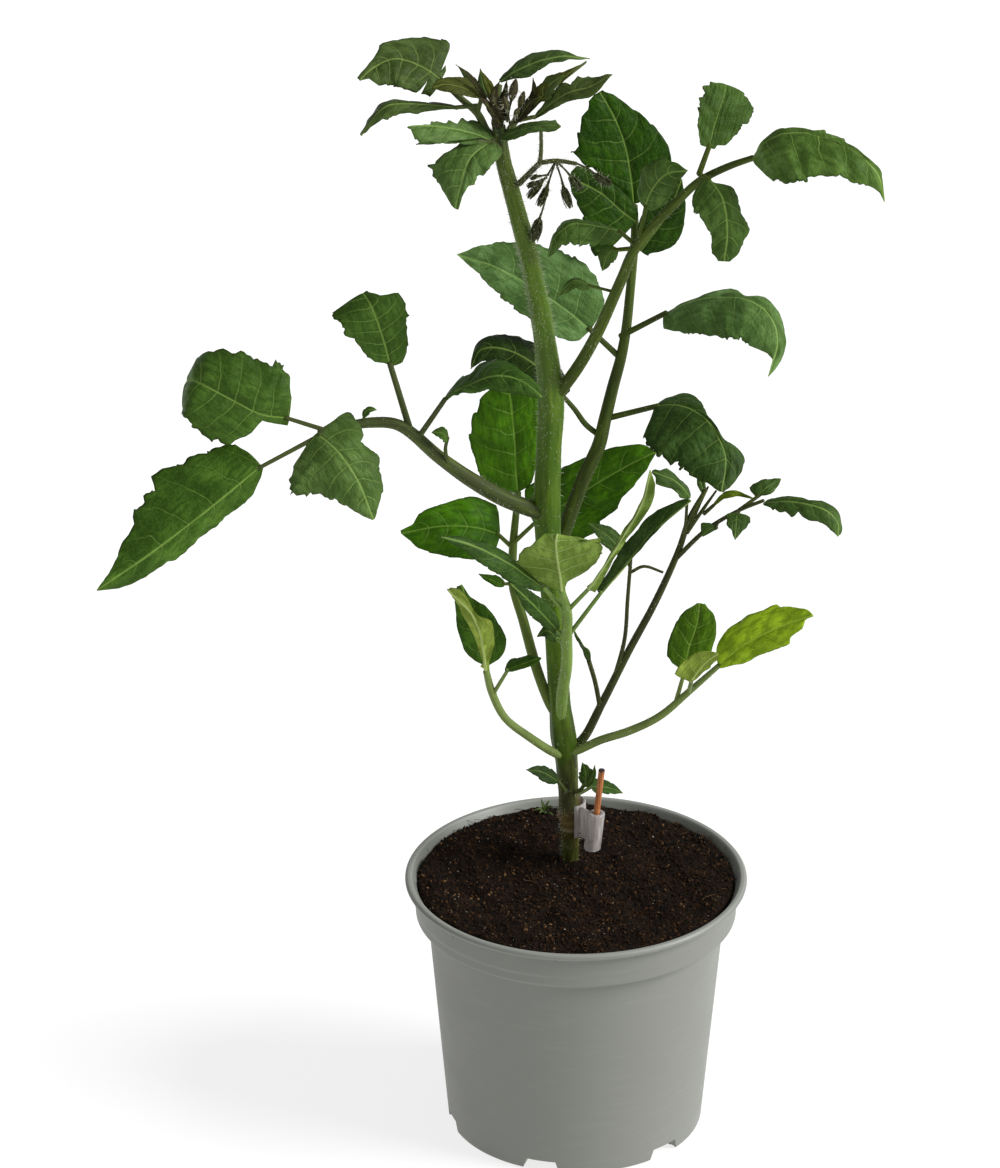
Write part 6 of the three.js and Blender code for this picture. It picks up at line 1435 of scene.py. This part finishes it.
soil = {"level": 100.2, "mound": 1.6, "moundRadius": 45, "lumps": 0.45, "wall": 1.4, "sectors": 180,
        "ringStep": 0.8, "crumbs": 3.75e5, "fibres": 2.2e5, "grit": 1.5e4, "crumbSize": 0.0015,
        "fibreSize": 0.0013, "gritSize": 0.0006, "clods": 0.8, "fine": 0.5, "riseFrom": 28,
        "riseOver": 25}

# peat and coir potting mix, moist: almost black brown, dull, with rust brown fibres
soilPeat, tree, shader = newMaterial("moistPeatAndCoir")
spot = ownSpot(tree)
clod = noiseAt(tree, spot, 7, 4, 0.65).outputs[0]
bits = noiseAt(tree, spot, 1.0, 3, 0.7).outputs[0]
colour = ramp(tree, clod, [(0.3, tone("#0d0906")), (0.55, tone("#1c120a")), (0.8, tone("#332111"))])
colour = mixColour(tree, fade(tree, bits, 0.58, 0.72, 0, 0.6), colour, tone("#452c18"))
wire(tree, shader, {"Base Color": colour, "Roughness": 0.9, "Specular IOR Level": 0.12,
                    "Normal": bump(tree, bits, 0.9, 0.9)})

# the loose crumbs and fibres: each one its own brown, from black peat to dry orange coir
crumbPeat, tree, shader = newMaterial("loosePeatCrumb")
wire(tree, shader, {"Roughness": 0.85, "Specular IOR Level": 0.15, "Base Color": ramp(
    tree, stored(tree, "pick"),
    [(0.0, tone("#0c0805")), (0.5, tone("#1d1309")), (0.8, tone("#35210f")),
     (0.96, tone("#472f1a")), (1.0, tone("#7a5d3c"))])})

# quartz grit and bits of perlite in the mix: pale, hard, small
gritPale, tree, shader = newMaterial("paleQuartzGrit")
wire(tree, shader, {"Roughness": 0.5, "Base Color": ramp(
    tree, stored(tree, "pick"), [(0.2, tone("#6d6353")), (0.8, tone("#b9b3a4"))])})


def soilTop(x, y):
    stemX, stemY = stem["route"][0][:2]
    near = max(1 - math.hypot(x - stemX, y - stemY) / soil["moundRadius"], 0)
    out = (math.hypot(x, y) - soil["riseFrom"]) / soil["riseOver"]
    rise = min(max(out, 0), 1)  # a little higher towards the wall
    lumps = math.sin(x * 0.31 + y * 0.12) + math.sin(y * 0.37 - x * 0.19)
    clods = noise.fractal(Vector((x * 0.11, y * 0.11, 3.0)), 0.8, 2.1, 4)
    crumbs = noise.fractal(Vector((x * 0.45, y * 0.45, 8.0)), 0.6, 2.2, 3)
    return (soil["level"] + soil["mound"] * near + soil["lumps"] * lumps
            + clods * soil["clods"] + crumbs * soil["fine"] + rise)


def soilMesh():
    wall, m = soil["wall"], soil["sectors"]
    low = [(pot["base"] + 0.5 - wall, pot["insideFloor"] + 0.3), (pot["bodyTop"] - wall, 87),
           (pot["collar"] - 0.6 - wall, 89), (pot["collar"] - 0.1 - wall, soil["level"] - 0.7)]
    rings = np.arange(pot["collar"] - wall - 0.9, 0.4, -soil["ringStep"])
    places = []
    for radius, height in low + [(radius, None) for radius in rings]:
        for k in range(m):
            turn = 2 * math.pi * k / m
            x, y = radius * math.cos(turn), radius * math.sin(turn)
            places.append((x, y, soilTop(x, y) if height is None else height))
    mesh = meshOf("pottingSoil", places, hoopFaces(len(places) // m, m))
    mesh.materials.append(soilPeat)
    return mesh


def scatterTree(material, shape):  # shape is crumb or fibre
    tree, given = newTree(shape + "Scatter", [
        ("Per Square Metre", "Float", 1e5), ("Size", "Float", 0.001), ("Seed", "Int", 5),
        ("Inside", "Float", 0.0595), ("Above", "Float", 0.0965)])
    parts = partsOf(tree, addNode(tree, "GeometryNodeInputPosition").outputs[0])
    radius = maths(tree, "POWER", maths(tree, "ADD", maths(tree, "POWER", parts[0], 2.0),
                                        maths(tree, "POWER", parts[1], 2.0)), 0.5)
    top = times(tree, maths(tree, "GREATER_THAN", parts[2], given["Above"]),
                maths(tree, "LESS_THAN", radius, given["Inside"]))
    density = times(tree, top, given["Per Square Metre"])
    spread = addNode(tree, "GeometryNodeDistributePointsOnFaces", {
        "Mesh": given["Geometry"], "Density": density, "Seed": given["Seed"]})
    if shape == "crumb":
        lump = addNode(tree, "GeometryNodeMeshIcoSphere", {
            "Radius": 0.5, "Subdivisions": 1}).outputs[0]
        least, most, tilt = (0.4, 0.4, 0.3), (1.5, 1.1, 0.9), 3.14
    else:
        bow = addNode(tree, "GeometryNodeCurveQuadraticBezier", {
            "Resolution": 5, "Start": (-2.0, 0, 0), "Middle": (0.2, 1.3, 0.25), "End": (2.0, 0, 0)})
        ring = addNode(tree, "GeometryNodeCurvePrimitiveCircle", {"Resolution": 3, "Radius": 0.055})
        lump = addNode(tree, "GeometryNodeCurveToMesh", {
            "Curve": bow.outputs[0], "Profile Curve": ring.outputs[0],
            "Fill Caps": True}).outputs[0]
        least, most, tilt = (0.35, 0.2, 0.8), (1.6, 1.4, 1.3), 0.35
    turn = randomOf(tree, (-tilt, -tilt, -3.14), (tilt, tilt, 3.14), given["Seed"])
    scale = addNode(tree, "ShaderNodeVectorMath", {
        0: randomOf(tree, least, most, given["Seed"]), "Scale": given["Size"]}, operation="SCALE")
    strewn = addNode(tree, "GeometryNodeInstanceOnPoints", {
        "Points": spread.outputs[0], "Instance": lump, "Rotation": turn,
        "Scale": scale.outputs[0]})
    marked = addNode(tree, "GeometryNodeStoreNamedAttribute", {
        "Geometry": strewn.outputs[0], "Name": "pick",
        "Value": randomOf(tree, 0.0, 1.0, given["Seed"])}, data_type="FLOAT", domain="INSTANCE")
    endTree(tree, marked.outputs[0], material)
    return tree


soilBase = soilMesh()
crumbs = grow("soilCrumbs", soilBase.copy(), scatterTree(crumbPeat, "crumb"), {
    "Per Square Metre": soil["crumbs"], "Size": soil["crumbSize"]})
fibres = grow("soilFibres", soilBase.copy(), scatterTree(crumbPeat, "fibre"), {
    "Per Square Metre": soil["fibres"], "Size": soil["fibreSize"], "Seed": 8})
grit = grow("soilGrit", soilBase.copy(), scatterTree(gritPale, "crumb"), {
    "Per Square Metre": soil["grit"], "Size": soil["gritSize"], "Seed": 12})
soilPiece = addObject("pottingSoil", soilBase)
place(soilPiece, "soil", "soil")
litter = joined("soilCrumbs", [crumbs, fibres, grit])
place(litter, "soil")
print("stage: soil", len(soilBase.polygons), len(litter.data.polygons))
